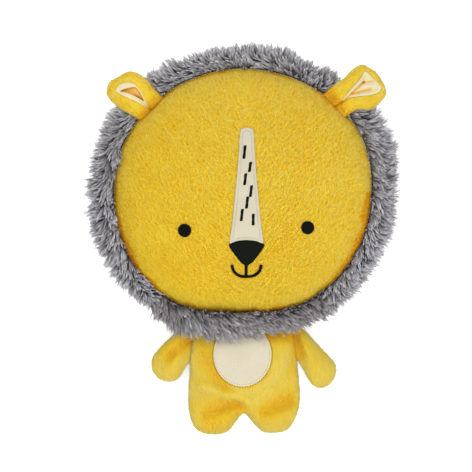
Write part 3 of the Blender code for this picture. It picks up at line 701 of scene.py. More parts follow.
def head_skin():
    """The head's cloth, front and back: points, faces, and how many faces are the front's."""
    rings = np.concatenate([1 - np.linspace(0, 0.30, 26) ** 1.6, np.linspace(0.82, 0.02, 46)])
    rings = np.unique(np.round(rings, 6))[::-1]
    turns = 360
    top, top_faces = polar_sheet(head_front_height, rings, turns, face_radius, (0, HEAD_Y))
    low, low_faces = polar_sheet(head_back_height, rings, turns, face_radius, (0, HEAD_Y))
    top[:turns, 2] = SEAM_Z
    count = len(top)
    shift = np.arange(count) + count - turns
    shift[:turns] = np.arange(turns)
    points = np.vstack([top, low[turns:]])
    faces = np.vstack([top_faces, shift[low_faces][:, ::-1]])
    return points, faces, len(top_faces)


def tangent_frame(normal, turn):
    """A unit direction across the surface that points the way turn says in plan."""
    flat = np.column_stack([np.cos(turn), np.sin(turn), np.zeros(len(turn))])
    return unit(flat - normal * (flat * normal).sum(1, keepdims=True), 1e-9)


def tufts(place, turn, size, ratio, seed):
    """The nearest tuft of each place.

    Gives the way to its middle, two numbers of its own, and 1 in the gaps between tufts.
    """
    c, s = math.cos(turn), math.sin(turn)
    x, y = place[:, 0], place[:, 1]
    cell = np.column_stack([(x * c + y * s) / ratio, y * c - x * s]) / size
    base = np.floor(cell).astype(np.int64)
    level = np.zeros(len(place), np.int64)
    best, second = np.full(len(place), 1e9), np.full(len(place), 1e9)
    way = np.zeros((len(place), 2))
    own = np.zeros((len(place), 2))
    for dx in (-1, 0, 1):
        for dy in (-1, 0, 1):
            ix, iy = base[:, 0] + dx, base[:, 1] + dy
            off_x, off_y = lattice(ix, iy, level, seed), lattice(ix, iy, level, seed + 1)
            gap = np.column_stack([ix + off_x, iy + off_y]) - cell
            far = np.hypot(gap[:, 0], gap[:, 1])
            near = far < best
            second = np.where(near, best, np.minimum(second, far))
            best[near] = far[near]
            way[near] = gap[near]
            for k in range(2):
                own[near, k] = lattice(ix[near], iy[near], level[near], seed + 2 + k)
    run, across = way[:, 0] * size * ratio * 0.25, way[:, 1] * size
    beside = way[:, 1] ** 2 / (way[:, 0] ** 2 + way[:, 1] ** 2 + 1e-9)
    between = (1 - np.clip((second - best) / 0.40, 0, 1)) * smooth_step(beside, 0.25, 0.8)
    way = np.column_stack([run * c - across * s, run * s + across * c])
    return way, own, between * (0.4 + 0.6 * own[:, 0])


def pile(name, place, normal, generator, tone=0.0, material=None, base_turn=-1.2, nap=None, seed=40,
         floor=None, length=1.55, width=0.165, lean=0.65, tuft=2.1, pull=0.68, shade=0.86,
         spread=0.30, speck=0.06):
    """Short plush pile on a skin, gathered in small tufts that lie along its nap; sizes in millimetres."""
    count = len(place)
    centre_way, own, between = tufts(place, base_turn, tuft * MM, 1.5, seed + 11)
    turn = base_turn if nap is None else nap
    turn = turn + noise(place, 0.05, seed) * 0.25 + noise(place, 0.014, seed + 1) * 0.25
    turn = turn + (own[:, 0] - 0.5) * 0.6 + generator.normal(0, 0.22, count)
    tilt = lean * (0.6 + 0.8 * own[:, 1]) + generator.normal(0, 0.12, count)
    up = unit(normal + tangent_frame(normal, turn) * tilt[:, None], 0)
    reach = length * MM * (0.80 + 0.30 * generator.random(count) + 0.15 * own[:, 1]) * (1 - 0.45 * between)
    root = place - normal * 0.15 * MM
    gather = np.column_stack([centre_way, np.zeros(count)])
    gather -= normal * (gather * normal).sum(1, keepdims=True)
    tip = root + up * reach[:, None] + gather * pull
    if floor is not None:
        tip[:, 2] = np.maximum(tip[:, 2], floor)
    paths = np.stack([root, tip], 1)
    thick = 0.8 + 0.5 * generator.random((count, 1))
    radii = np.stack([np.full(count, width * MM), np.zeros(count)], 1) * thick
    clouds = noise(place, 0.024, seed + 5) * 0.10 + noise(place, 0.007, seed + 6) * 0.05
    tones = 0.81 + clouds + (own[:, 1] - 0.5) * spread
    # Tone drops in the gaps between tufts: painted shade
    tones = tones + generator.normal(0, speck, count) - shade * between + tone
    return strands(name, paths, radii, tones, material or pile_material)


head_points, head_faces, front_count = head_skin()
head_piece = mesh_from("head_skin", head_points, head_faces, ground_material)
carry(head_piece, "head", ("face_panel", "head_back_panel", "head_stuffing"))

# Outlines of what is sewn on the face
FEATURE_Z = face_high.z - 3 * MM


def face_outline(points, step):
    """An outline that runs anticlockwise, from pixels listed clockwise in the photograph."""
    return anticlockwise(rounded(photo_line(points, FEATURE_Z)[::-1], step))


BLAZE = face_outline([
    (246.9, 127.2), (251.1, 128.2), (253.7, 131.6), (254.9, 150), (256.6, 175), (258.9, 200), (261.2, 224),
    (263.3, 243.6), (256, 241.4), (246.6, 240.4), (237, 241.4), (229.6, 243.6), (231.9, 224), (234.4, 200),
    (236.9, 175), (238.8, 150), (240.1, 131.6), (242.6, 128.2),
], 0.8 * MM)
NOSE = face_outline([
    (229.0, 245.4), (230.2, 243.2), (237, 241.0), (246.5, 240.2), (256, 241.0), (263.2, 243.2),
    (264.4, 245.4), (263.4, 248.0), (257.5, 256.5), (251.0, 263.6), (246.4, 265.4), (242.0, 263.6),
    (235.8, 256.5), (230.0, 248.0),
], 0.7 * MM)
EYES = {
    "left": (photo(184.4, 230.4, FEATURE_Z), 5.3 * MM),
    "right": (photo(307.9, 227.7, FEATURE_Z), 5.2 * MM),
}

# Painted shade on stretches of the face's rim, whose padded edge turns from the light: a bearing and a width in
# degrees, and how deep the shade
FACE_RIM_SHADE = [(345, 34, 1.0), (215, 28, 1.0), (270, 38, 1.0), (180, 22, 0.5), (136, 10, 0.9), (43, 10, 0.8),
        (104, 11, 0.5), (74, 8, 0.4)]
NAP_TURN = 0.70


def bare_of_pile(place):
    """Places of the face that lie under the blaze, the nose or an eye."""
    covered = inside(BLAZE, place) & (distance_to(BLAZE, place) > 0.25 * MM)
    covered |= inside(NOSE, place) & (distance_to(NOSE, place) > 0.2 * MM)
    for (x, y), radius in EYES.values():
        covered |= np.hypot(place[:, 0] - x, place[:, 1] - y) < radius - 0.2 * MM
    return covered


def face_tone(place):
    """Tones of the face's pile: painted shade along the rim, low in the middle, painted light outwards and on
    the chin.
    """
    turn = np.degrees(np.arctan2(place[:, 1] - HEAD_Y, place[:, 0])) % 360
    rim_shade = np.zeros(len(place))
    for middle, width, share in FACE_RIM_SHADE:
        rim_shade = np.maximum(rim_shade, share * bell(turn - middle, width))
    wide = 0.012 * rim_shade + 0.016 * noise(place, 0.009, 35) * rim_shade + 0.014 * bell(turn - 348, 30)
    out_share = face_share(place[:, 0], place[:, 1])
    # Painted shade along the rim, deepest at the listed stretches
    tone = -(0.10 + 0.85 * rim_shade) * smooth_step(out_share + wide, 0.966, 0.990)
    # Painted light: paler outwards, where the dome turns from the lamps
    tone += 0.09 * smooth_step(out_share, 0.55, 0.92)
    x, y = photo(245, 262)
    across, up = (place[:, 0] - x) / (52 * MM), (place[:, 1] - y) / (30 * MM)
    tone -= 0.10 * np.exp(-(across ** 2 + up ** 2))
    # More painted light on the lower face above the chin
    chin = smooth_step(HEAD_Y - place[:, 1], 60 * MM, 90 * MM)
    return tone + 0.10 * smooth_step(out_share, 0.80, 0.92) * chin


def head_pile():
    """Pile in four quarters of the face and two halves of the back; its nap runs down and inwards."""
    generator = np.random.default_rng(31)
    place, normal = scatter(head_points, head_faces[:front_count], 4.2e6, generator)
    covered = bare_of_pile(place)
    place, normal = place[~covered], normal[~covered]
    tone = face_tone(place)
    nap = -math.pi / 2 - NAP_TURN * np.clip(place[:, 0] / (30 * MM), -1, 1)
    for number, (side, level) in enumerate(((-1, 1), (-1, -1), (1, 1), (1, -1)), 1):
        keep = (place[:, 0] * side > 0) & ((place[:, 1] - HEAD_Y) * level > 0)
        carry(pile(f"face_pile_{number}", place[keep], normal[keep], generator, tone[keep],
                   base_turn=-math.pi / 2 - NAP_TURN * side, nap=nap[keep]), "head")
    place, normal = scatter(head_points, head_faces[front_count:], 1.6e6, generator)
    for number, side in enumerate((-1, 1), 1):
        keep = place[:, 0] * side > 0
        carry(pile(f"head_back_pile_{number}", place[keep], normal[keep], generator, floor=LOWEST_PILE,
                   width=0.25), "head")


head_pile()


def sewn_sheet(name, outline, height, thickness, material, body, nodes, spacing=1.1,
               rings=(0.25, 0.6, 1.1), grain=0.0, groove=None):
    """A cloth shape sewn down along its edge: closed, rounded at the edge, lying on a height field."""
    places, faces = plan_mesh(outline, spacing * MM, [r * MM for r in rings])
    gap = distance_to(outline, places)
    rise = thickness * domed(gap, 0.9 * MM)
    if grain:
        rise = rise + noise(places, 0.9 * MM, 77) * grain * smooth_step(gap, 0, 0.8 * MM)
    if groove:
        rise = rise - 0.75 * MM * bell(gap - groove, 0.55 * MM)
        rise = rise - 0.25 * MM * smooth_step(gap, groove, groove + 1.2 * MM)
    z = height(places[:, 0], places[:, 1])
    points, faces = closed_bag(places, faces, z - 0.35 * MM + rise, z - 1.0 * MM, gap < WELD)
    carry(mesh_from(name, points, faces, material), body, nodes)


def stitches(name, line, height, material, body, long, gap, thick, wide, closed=True, lift=0.0,
             nodes=(), tilt=0.0):
    """Short raised stitches along a line, each a closed lens of thread, in millimetres and radians."""
    if closed:
        line = np.vstack([line, line[:1]])
    run = np.concatenate([[0], np.cumsum(np.linalg.norm(np.diff(line, axis=0), axis=1))])
    count = max(int(run[-1] / ((long + gap) * MM)), 1)
    step = run[-1] / count
    points, faces = [], []
    levels, sides = 7, 6
    for i in range(count):
        at = np.linspace(i * step + gap * MM / 2, (i + 1) * step - gap * MM / 2, levels)
        xy = np.column_stack([np.interp(at, run, line[:, k]) for k in (0, 1)])
        tangent = xy[-1] - xy[0]
        tangent /= np.linalg.norm(tangent) + 1e-12
        across = np.array([-tangent[1], tangent[0]])
        if tilt:
            middle = xy.mean(0)
            c, s = math.cos(tilt), math.sin(tilt)
            xy = (xy - middle) @ np.array([[c, s], [-s, c]]) + middle
            across = across @ np.array([[c, s], [-s, c]])
        z = height(xy[:, 0], xy[:, 1]) + lift
        start = len(points)
        for j in range(levels):
            t = j / (levels - 1)
            fat = math.sin(math.pi * (0.12 + 0.76 * t)) ** 0.5
            sink = (1 - math.sin(math.pi * t)) * 0.22 * MM
            for k in range(sides):
                turn = 2 * math.pi * k / sides
                offset = across * math.cos(turn) * wide * MM * fat
                points.append((xy[j, 0] + offset[0], xy[j, 1] + offset[1],
                               z[j] - sink + math.sin(turn) * thick * MM * fat))
        for j in range(levels - 1):
            for k in range(sides):
                m = (k + 1) % sides
                a = start + j * sides
                faces.append((a + k, a + m, a + sides + m, a + sides + k))
        faces.append(tuple(start + k for k in reversed(range(sides))))
        faces.append(tuple(start + (levels - 1) * sides + k for k in range(sides)))
    carry(mesh_from(name, points, faces, material), body, nodes)


def above_face(rise):
    """A height field that many millimetres over the tips of the face's pile."""
    return lambda x, y: face_top(x, y) + rise * MM


# Blaze, with a line of cream thread in a groove just inside its edge
GROOVE = 2.3 * MM
sewn_sheet("blaze_cloth", BLAZE, face_top, 1.45 * MM, blaze_cream, "head", ["blaze"], 0.8,
           (0.25, 0.6, 1.1, 1.6, 2.0, 2.3, 2.6, 3.1), 0.05 * MM, GROOVE)
blaze_seam = offset_in(BLAZE, GROOVE)
blaze_seam = blaze_seam[inside(BLAZE, blaze_seam) & (distance_to(BLAZE, blaze_seam) > 2.0 * MM)]
blaze_seam = blaze_seam[blaze_seam[:, 1] > NOSE[:, 1].max() + 1.6 * MM]
stitches("blaze_stitches", blaze_seam, above_face(0.45), cream_thread, "head",
         1.7, 0.35, 0.2, 0.26, closed=False)


def satin(name, outline, height, thickness, node, pitch, angle=0.0):
    """Satin embroidery on the head: a raised shape whose surface is rows of parallel thread."""
    places, faces = plan_mesh(outline, 0.42 * MM, [0.18 * MM, 0.4 * MM])
    gap = distance_to(outline, places)
    across = places[:, 0] * math.sin(angle) + places[:, 1] * math.cos(angle)
    rows = 0.86 + 0.14 * np.abs(np.cos(np.pi * across / (pitch * MM)))
    rise = thickness * domed(gap, 0.8 * MM) * rows
    z = height(places[:, 0], places[:, 1])
    points, faces = closed_bag(places, faces, z + rise, z - 0.8 * MM, gap < WELD)
    carry(mesh_from(name, points, faces, black_thread), "head", (node,))


# Dashes on the blaze: pixels across, and of the top and the foot
DASHES = [
    (244.5, 145.4, 158.8), (250.0, 162.0, 172.2), (245.2, 173.4, 185.2), (251.0, 185.4, 197.0),
    (247.1, 196.6, 208.6), (241.8, 209.1, 221.1), (253.2, 213.8, 225.4),
]
DASH_HALF = 1.62
for number, (x, top, foot) in enumerate(DASHES, 1):
    lean = 0.55 if number < len(DASHES) else 0.1
    high, deep, middle = x + lean, x - lean, (top + foot) / 2
    bar = face_outline([
        (high - DASH_HALF, top + 1.0), (high - DASH_HALF * 0.4, top), (high + DASH_HALF * 0.8, top - 0.2),
        (high + DASH_HALF, top + 0.8), (x + DASH_HALF * 0.9, middle), (deep + DASH_HALF, foot - 1.2),
        (deep + DASH_HALF * 0.5, foot), (deep - DASH_HALF * 0.7, foot + 0.2), (deep - DASH_HALF, foot - 0.8),
        (x - DASH_HALF * 0.9, middle),
    ], 0.35 * MM)
    satin(f"dash_thread_{number}", bar, above_face(0.82), 0.45 * MM, f"dash_{number}", 0.42)

# Nose: felt with a bound edge
sewn_sheet("nose_felt", NOSE, face_top, 1.7 * MM, black_felt, "head", ["nose"], 0.9,
           (0.25, 0.6), grain=0.06 * MM)
stitches("nose_edge", offset_in(NOSE, 0.75 * MM), above_face(0.95), black_thread, "head",
         0.9, -0.35, 0.42, 0.85, tilt=1.15)

# Mouth: back stitches along a stem and two arcs
MOUTH = {
    "left": [(246.6, 276.9), (241.0, 276.4), (236.4, 274.2), (233.0, 270.0), (231.9, 265.0)],
    "right": [(246.2, 276.9), (252.0, 276.4), (256.8, 274.0), (260.2, 270.0), (261.2, 264.8)],
    "stem": [(246.4, 264.6), (246.1, 271.0), (246.2, 277.4)],
}
for part, line in MOUTH.items():
    line = rounded(photo_line(line, FEATURE_Z), 0.4 * MM, closed=False)
    stitches(f"mouth_{part}", line, above_face(0.35), black_thread, "head",
             2.6, -1.0, 0.6, 1.22, closed=False, nodes=("mouth",) if part == "stem" else ())

# Eyes: satin discs with a bound rim
for side, ((x, y), radius) in EYES.items():
    turns = np.arange(40) * 2 * np.pi / 40
    ring = np.column_stack([x + np.cos(turns) * radius, y + np.sin(turns) * radius])
    satin(f"eye_{side}_satin", ring, face_top, 1.15 * MM, f"eye_{side}", 0.5, 0.3)
    stitches(f"eye_{side}_rim", offset_in(ring, 0.5 * MM), above_face(0.35), black_thread, "head",
             0.8, -0.3, 0.4, 0.75, tilt=1.2)

# The body


def body_middle(y):
    share = (FOLD_Y - y) / (FOLD_Y - FEET_Y)
    return NECK_MIDDLE + (FOOT_MIDDLE - NECK_MIDDLE) * share


NECK_TOP = HEAD_Y - FACE_B * 0.90
BODY_Z = 12 * MM
BODY = anticlockwise(rounded(
    np.vstack([
        [(-31 * MM, NECK_TOP), (-35 * MM, FOLD_Y + 3 * MM)],
        photo_line([
            (194.6, 326.0), (193.6, 336.0), (192.4, 347.0), (190.6, 360.0), (190.4, 374.0), (189.3, 388.0),
            (188.6, 402.0), (190.4, 414.4), (194.2, 425.6), (201.2, 431.6), (213.0, 434.0), (225.0, 431.9),
            (231.2, 427.0), (236.4, 419.6), (240.8, 414.2), (244.8, 412.6), (249.0, 416.4), (256.0, 425.0),
            (264.0, 431.4), (275.0, 432.2), (285.4, 430.0), (291.4, 424.2), (296.3, 413.6), (298.8, 403.0),
            (298.9, 389.0), (297.6, 376.0), (296.2, 361.0), (294.8, 348.0), (293.4, 337.0), (292.0, 326.0),
        ], BODY_Z),
        [(35 * MM, FOLD_Y + 3 * MM), (31 * MM, NECK_TOP)],
    ]), 1.2 * MM,
))
body_swell = Swell(BODY, 1.2 * MM)


def fold_line(places, start, end, width):
    """1 along a straight crease and fading to 0 across it and past its ends."""
    a, b = np.array(start), np.array(end)
    d = b - a
    t = np.clip(((places - a) @ d) / (d @ d), 0, 1)
    gap = places - a - t[:, None] * d
    return bell(np.hypot(gap[:, 0], gap[:, 1]), width)


def body_folds(places):
    """Folds of the front cloth, in millimetres: hollows over the feet and a ridge between them."""
    z = -4.0 * fold_line(places, photo(237, 405), photo(206, 414), 5.0 * MM)
    z -= 3.2 * fold_line(places, photo(264, 413), photo(290, 404), 5.2 * MM)
    z += 2.3 * fold_line(places, photo(203, 386), photo(247, 401), 4.2 * MM)
    z -= 1.6 * fold_line(places, photo(202, 358), photo(222, 388), 5.5 * MM)
    z += 1.5 * fold_line(places, photo(284, 366), photo(258, 394), 6 * MM)
    z -= 1.5 * fold_line(places, photo(293, 350), photo(284, 374), 4 * MM)
    z -= 1.2 * fold_line(places, photo(246, 398), photo(275, 384), 3.5 * MM)
    return z + noise(places, 0.022, 51) * 0.6 + noise(places, 0.010, 52) * 0.3


def cloth_levels(middle, front, under):
    """Top and bottom levels of the cloth, which lies a little under the pile's tips on both sides."""
    top = middle + np.maximum(front - PILE_SINK * 0.8, 0)
    return top, np.maximum(middle - np.maximum(under - PILE_SINK * 0.8, 0), LOWEST_CLOTH)


def body_heights(places):
    """Top and bottom of the body's cloth over its plan."""
    share = body_swell.share(places)
    y = places[:, 1]
    neck = smooth_step(y, FOLD_Y + 4 * MM, FOLD_Y - 21 * MM)
    feet = 1 + 0.42 * smooth_step(y, HIP_Y + 2 * MM, HIP_Y - 12 * MM)
    swell = share**0.75 * (0.20 + 0.80 * neck) * feet
    middle = body_middle(y)
    front = 11.6 * MM * swell + body_folds(places) * MM * np.clip(share * 2.2, 0, 1) * neck
    under = 11.4 * MM * swell + noise(places, 0.02, 55) * 0.4 * MM * np.clip(share * 2, 0, 1)
    return cloth_levels(middle, front, under)


def body_top(x, y):
    places = np.column_stack([x, y])
    return body_heights(places)[0] + PILE_SINK * 0.75


plan, plan_faces = plan_mesh(BODY, 1.35 * MM, [0.3 * MM, 0.9 * MM, 1.8 * MM])
gap = distance_to(BODY, plan)
top, low = body_heights(plan)
body_points, body_faces = closed_bag(plan, plan_faces, top, low, gap < WELD)
body_normals = normals_of(body_points, body_faces)

LEG_LINE = HIP_Y + 8 * MM
NECK_LINE = FOLD_Y - 10 * MM


def body_region(centres):
    """Which piece each place of the body belongs to."""
    region = np.full(len(centres), "torso", dtype=object)
    region[centres[:, 1] > NECK_LINE] = "neck"
    region[(centres[:, 1] < LEG_LINE) & (centres[:, 0] < 0)] = "leg_left"
    region[(centres[:, 1] < LEG_LINE) & (centres[:, 0] >= 0)] = "leg_right"
    return region


def attach(piece, region):
    """The torso's region of the body's cloth follows the torso; the neck's and the legs' stay where they lie.
    """
    if region == "torso":
        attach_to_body(piece, "torso")
    elif region == "neck":
        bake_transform(piece)
    else:
        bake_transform(piece)


REPLACED = {
    "torso": ("torso_front_panel", "torso_back_panel", "torso_stuffing"),
    "neck": ("neck",),
    "leg_left": ("leg_left_front_panel", "leg_left_back_panel", "leg_left_stuffing"),
    "leg_right": ("leg_right_front_panel", "leg_right_back_panel", "leg_right_stuffing"),
}
face_region = body_region(body_points[body_faces].mean(1))
for region, nodes in REPLACED.items():
    chosen = body_faces[face_region == region]
    used, faces = used_only(body_points, chosen)
    piece = mesh_from(f"{region}_skin", body_points[used], faces, ground_material)
    piece.data.normals_split_custom_set_from_vertices([tuple(n) for n in body_normals[used]])
    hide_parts(*nodes)
    attach(piece, region)

PATCH_C = photo(242.4, 354.6, 24 * MM)
PATCH = anticlockwise(rounded(
    [(PATCH_C[0] + math.cos(t) * 22.5 * MM, PATCH_C[1] + math.sin(t) * 24.8 * MM)
     for t in np.linspace(0, 2 * math.pi, 28, endpoint=False)], 0.9 * MM,
))
body_rng = np.random.default_rng(57)
place, normal = scatter(body_points, body_faces, 3.6e6, body_rng)
under_patch = inside(PATCH, place) & (distance_to(PATCH, place) > 0.3 * MM)
pits = rounded(offset_in(PATCH, -0.85 * MM), 2.1 * MM)
near_patch = np.flatnonzero(distance_to(PATCH, place) < 2 * MM)
in_pit = np.zeros(len(place), bool)
for pit in pits:
    in_pit[near_patch] |= np.hypot(*(place[near_patch, :2] - pit).T) < 0.55 * MM
bare = (under_patch | in_pit) & (normal[:, 2] > 0)
place, normal = place[~bare], normal[~bare]
region_of = body_region(place)
front = normal[:, 2] > 0
# Painted shade and highlight on the folds and beside the fringe: each one's ends in pixels, its width in
# millimetres and its tone
SHADES = [
    ((240, 405), (210, 414), 6.8, -0.66), ((288, 400), (266, 412), 6.5, -0.55),
    ((203, 386), (248, 402), 3.6, 0.30), ((204, 350), (224, 388), 6.0, -0.42),
    ((260, 388), (286, 362), 8.0, 0.22), ((295, 344), (290, 372), 3.6, -0.28),
    ((248, 396), (276, 382), 3.5, -0.12), ((300, 332), (262, 338), 5.0, -0.45),
    ((192, 352), (191, 400), 3.0, 0.16), ((208, 424), (226, 424), 6.0, -0.18),
    ((236, 388), (256, 404), 5.0, 0.22),
]
# Painted shadow under the mane's fringe, then the painted shade and highlight of the folds
body_tone = -0.30 * smooth_step(place[:, 1], photo(0, 350)[1], photo(0, 334)[1])
for one, two, width, amount in SHADES:
    body_tone += amount * fold_line(place[:, :2], photo(*one), photo(*two), width * MM)
body_tone = np.where(front, np.clip(body_tone, -0.72, 0.20), 0)
BODY_PILE = dict(floor=LOWEST_PILE, length=1.6, pull=0.45, tuft=1.7, shade=0.20, spread=0.12, speck=0.035,
                 material=body_pile_material)
for region in REPLACED:
    keep = region_of == region
    piece = pile(f"{region}_pile", place[keep], normal[keep], body_rng, body_tone[keep], seed=60, **BODY_PILE)
    attach(piece, region)

sewn_sheet("belly_cloth", PATCH, body_top, 1.2 * MM, cream, "torso", ["belly_patch"],
           grain=0.05 * MM)


def patch_edge(x, y):
    return body_top(x, y) + 0.7 * MM


# A pale zigzag of thread round the patch; its paleness is partly a painted highlight on the patch's raised edge
stitches("belly_edge", offset_in(PATCH, -0.15 * MM), patch_edge, edge_thread, "torso",
         1.5, 0.1, 0.46, 0.55, tilt=1.3, lift=0.5 * MM)
# Dark thread dots just outside the patch: painted shade of the needle holes
stitches("belly_pits", offset_in(PATCH, -1.35 * MM), body_top, pit_shade_thread, "torso", 0.8, 1.3,
         0.34, 0.5, lift=1.2 * MM)

# Arms

ARM_OUTLINES = {
    "left": [
        (193.6, 322.0), (186.0, 325.5), (178.6, 330.2), (170.6, 338.0), (161.6, 346.8), (153.8, 356.2),
        (151.9, 365.0), (153.8, 372.4), (159.6, 378.4), (167.6, 381.2), (175.2, 379.6), (180.6, 374.6),
        (185.4, 366.0), (191.6, 359.6), (193.4, 346.0),
    ],
    "right": [
        (292.6, 321.0), (299.0, 325.6), (305.4, 332.0), (313.4, 341.0), (324.8, 353.0), (333.6, 362.6),
        (335.8, 370.0), (333.6, 378.6), (328.6, 384.4), (320.6, 387.6), (313.8, 385.0), (308.6, 378.6),
        (303.2, 368.6), (298.6, 361.2), (294.4, 359.0), (293.0, 345.0),
    ],
}
SEAMS = {
    "left": (photo(194.4, 323.0), photo(190.6, 360.0)),
    "right": (photo(292.2, 321.0), photo(296.4, 360.0)),
}
for side, sign in (("left", -1), ("right", 1)):
    outline = anticlockwise(rounded(photo_line(ARM_OUTLINES[side], BODY_Z), 1.0 * MM))
    swell = Swell(outline, 0.9 * MM, 500)
    seam_a, seam_b = (np.array(p) for p in SEAMS[side])
    seam_way = (seam_b - seam_a) / np.linalg.norm(seam_b - seam_a)
    outward = np.array([-seam_way[1], seam_way[0]])
    if outward[0] * sign < 0:
        outward = -outward
    places, faces = plan_mesh(outline, 1.25 * MM, [0.3 * MM, 0.8 * MM, 1.6 * MM])
    reach = np.maximum((places - seam_a) @ outward, 0)
    share = swell.share(places)
    root = smooth_step(reach, -1 * MM, 12 * MM)
    droop = 5.0 * MM * smooth_step(reach, 0, 34 * MM)
    middle = body_middle(places[:, 1]) - droop
    thick = 8.4 * MM * share**0.75 * (0.42 + 0.58 * root)
    if side == "left":
        folds = -2.3 * fold_line(places, photo(190, 338), photo(170, 356), 4.4 * MM)
        folds += 0.9 * fold_line(places, photo(181, 352), photo(166, 372), 4 * MM)
    else:
        folds = -2.4 * fold_line(places, photo(294, 336), photo(302, 354), 3.2 * MM)
        folds += 0.9 * fold_line(places, photo(306, 352), photo(324, 374), 4.5 * MM)
    filled = np.clip(share * 2, 0, 1)
    thick_front = thick + folds * MM * filled + noise(places, 0.012, 71) * 0.35 * MM * filled
    top, low = cloth_levels(middle, thick_front, thick)
    points, faces = closed_bag(places, faces, top, low, distance_to(outline, places) < WELD)
    piece = mesh_from(f"arm_{side}_skin", points, faces, ground_material)
    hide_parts(f"arm_{side}_front_panel", f"arm_{side}_back_panel", f"arm_{side}_stuffing")
    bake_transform(piece)
    place, normal = scatter(points, faces, 3.6e6, body_rng)
    # Painted shade in the arm's fold and along its seam with the body; the whole arm a little paler
    if side == "left":
        shade = fold_line(place[:, :2], photo(192, 338), photo(169, 355), 5.6 * MM)
    else:
        shade = fold_line(place[:, :2], photo(295, 334), photo(300, 354), 5.4 * MM)
    shade = -0.62 * shade * (normal[:, 2] > 0)
    inner = np.abs((place[:, :2] - seam_a) @ outward)
    shade += 0.05 - 0.45 * smooth_step(-inner, -2.6 * MM, 0)
    piece = pile(f"arm_{side}_pile", place, normal, body_rng, shade, seed=80, **BODY_PILE)
    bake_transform(piece)

# Ears

EARS = {
    "left": {
        "edge": [
            (450, 212), (540, 228), (620, 280), (690, 340), (745, 410), (800, 475), (858, 530), (866, 575),
            (838, 640), (740, 712), (690, 772), (640, 812), (582, 828), (515, 798), (420, 745), (325, 690),
            (238, 620), (175, 552), (150, 500), (155, 440), (175, 372), (212, 330), (300, 285), (380, 235),
        ],
        "rim": [
            (262, 462), (300, 402), (340, 372), (420, 355), (490, 366), (540, 398), (600, 470), (645, 565),
            (685, 645), (708, 695), (640, 668), (560, 620), (480, 588), (380, 540), (300, 498),
        ],
        "hole": [
            (120.8, 90.9), (125.6, 89.0), (132.0, 87.8), (135.4, 87.8), (137.4, 90.0), (140.5, 95.0),
            (143.4, 100.4), (140.8, 99.0), (136.1, 96.2), (131.0, 93.8), (125.9, 92.0), (121.8, 91.4),
        ],
        "centre": (500, 500), "origin": (95, 55), "crease": (735, 715), "sink": 0,
    },
    "right": {
        "edge": [
            (820, 188), (872, 210), (932, 246), (990, 282), (1050, 360), (1090, 430), (1120, 500),
            (1124, 572), (1100, 622), (1040, 690), (980, 740), (900, 772), (790, 776), (716, 784),
            (645, 832), (604, 852),
            (556, 800), (492, 718), (430, 640), (362, 556), (400, 500), (470, 440), (590, 360), (650, 290),
            (720, 230), (770, 200),
        ],
        "rim": [
            (852, 272), (905, 312), (962, 370), (1040, 438), (1066, 482), (1052, 532), (1000, 568),
            (900, 594), (760, 608), (650, 624), (545, 668), (600, 592), (700, 470), (780, 380), (820, 320),
        ],
        "centre": (850, 480), "origin": (300, 50), "crease": (490, 720), "sink": -2,
    },
}
CROP_SCALE = 120 / 1568
ear_low, ear_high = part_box("ear_left_outer")
EAR_LOW, EAR_TOP = ear_low.z + 2.5 * MM, ear_high.z
RAYS = 120


def ear_point(ear, x, y):
    return photo(ear["origin"][0] + x * CROP_SCALE, ear["origin"][1] + y * CROP_SCALE, EAR_TOP)


def ray_ring(outline, centre):
    """Where evenly turned rays from a centre meet an outline."""
    rel = outline - centre
    angle = np.arctan2(rel[:, 1], rel[:, 0]) % (2 * np.pi)
    order = np.argsort(angle)
    base, reach = angle[order], np.hypot(rel[:, 0], rel[:, 1])[order]
    turns = np.arange(RAYS) * 2 * np.pi / RAYS
    found = np.interp(turns, np.concatenate([base[-1:] - 2 * np.pi, base, base[:1] + 2 * np.pi]),
                      np.concatenate([reach[-1:], reach, reach[:1]]))
    return centre + np.column_stack([np.cos(turns), np.sin(turns)]) * found[:, None]


class Ear:
    """One folded ear: a padded loop of plush, pinched at its root, with a cream fold in its opening."""

    def __init__(self, side, ear):
        self.side = side
        self.crease = np.array(ear_point(ear, *ear["crease"]))
        self.centre = np.array(ear_point(ear, *ear["centre"]))
        self.way = (self.centre - self.crease) / np.linalg.norm(self.centre - self.crease)
        self.sink = ear["sink"] * MM
        edge = anticlockwise(rounded([ear_point(ear, *p) for p in ear["edge"]], 0.5 * MM))
        back = smooth_step(-self.run(edge), -6 * MM, 1 * MM) * (5 * MM - self.sink)
        self.edge = edge - self.way * back[:, None]
        self.rim = anticlockwise(rounded([ear_point(ear, *p) for p in ear["rim"]], 0.4 * MM))

    def run(self, points):
        return (points[:, :2] - self.crease) @ self.way

    def across(self, points):
        return (points[:, :2] - self.crease) @ np.array([-self.way[1], self.way[0]])

    def dip(self, points):
        """The root sinks into the seam behind the face."""
        return -7.5 * MM * smooth_step(self.sink - self.run(points), -7 * MM, 3 * MM)

    def height(self, points, bow):
        run = self.run(points)
        out = np.clip(run / (36 * MM), 0, 1)
        crown = 2.6 + 3.1 * smooth_step(run, self.sink - 3 * MM, 9 * MM) + 1.6 * np.sin(np.pi * out) ** 0.8
        pinch = bell(self.across(points), 1.25 * MM) * smooth_step(-run, -14 * MM, -4 * MM)
        swell = noise(points[:, :2], 0.008, 94) * 0.45 * MM
        return EAR_LOW + 1 * MM + self.dip(points) + (crown * MM + swell - 3.2 * MM * pinch) * bow

    def under(self, points):
        return EAR_LOW - 1.2 * MM + self.dip(points)

    def attach(self, piece, slot):
        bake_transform(piece)


def ring_faces(first, second, flip=False):
    """Triangles between two rings of point numbers."""
    p, q, r, s = first, np.roll(first, -1), np.roll(second, -1), second
    made = np.vstack([np.column_stack([p, q, r]), np.column_stack([p, r, s])])
    return made[:, ::-1] if flip else made


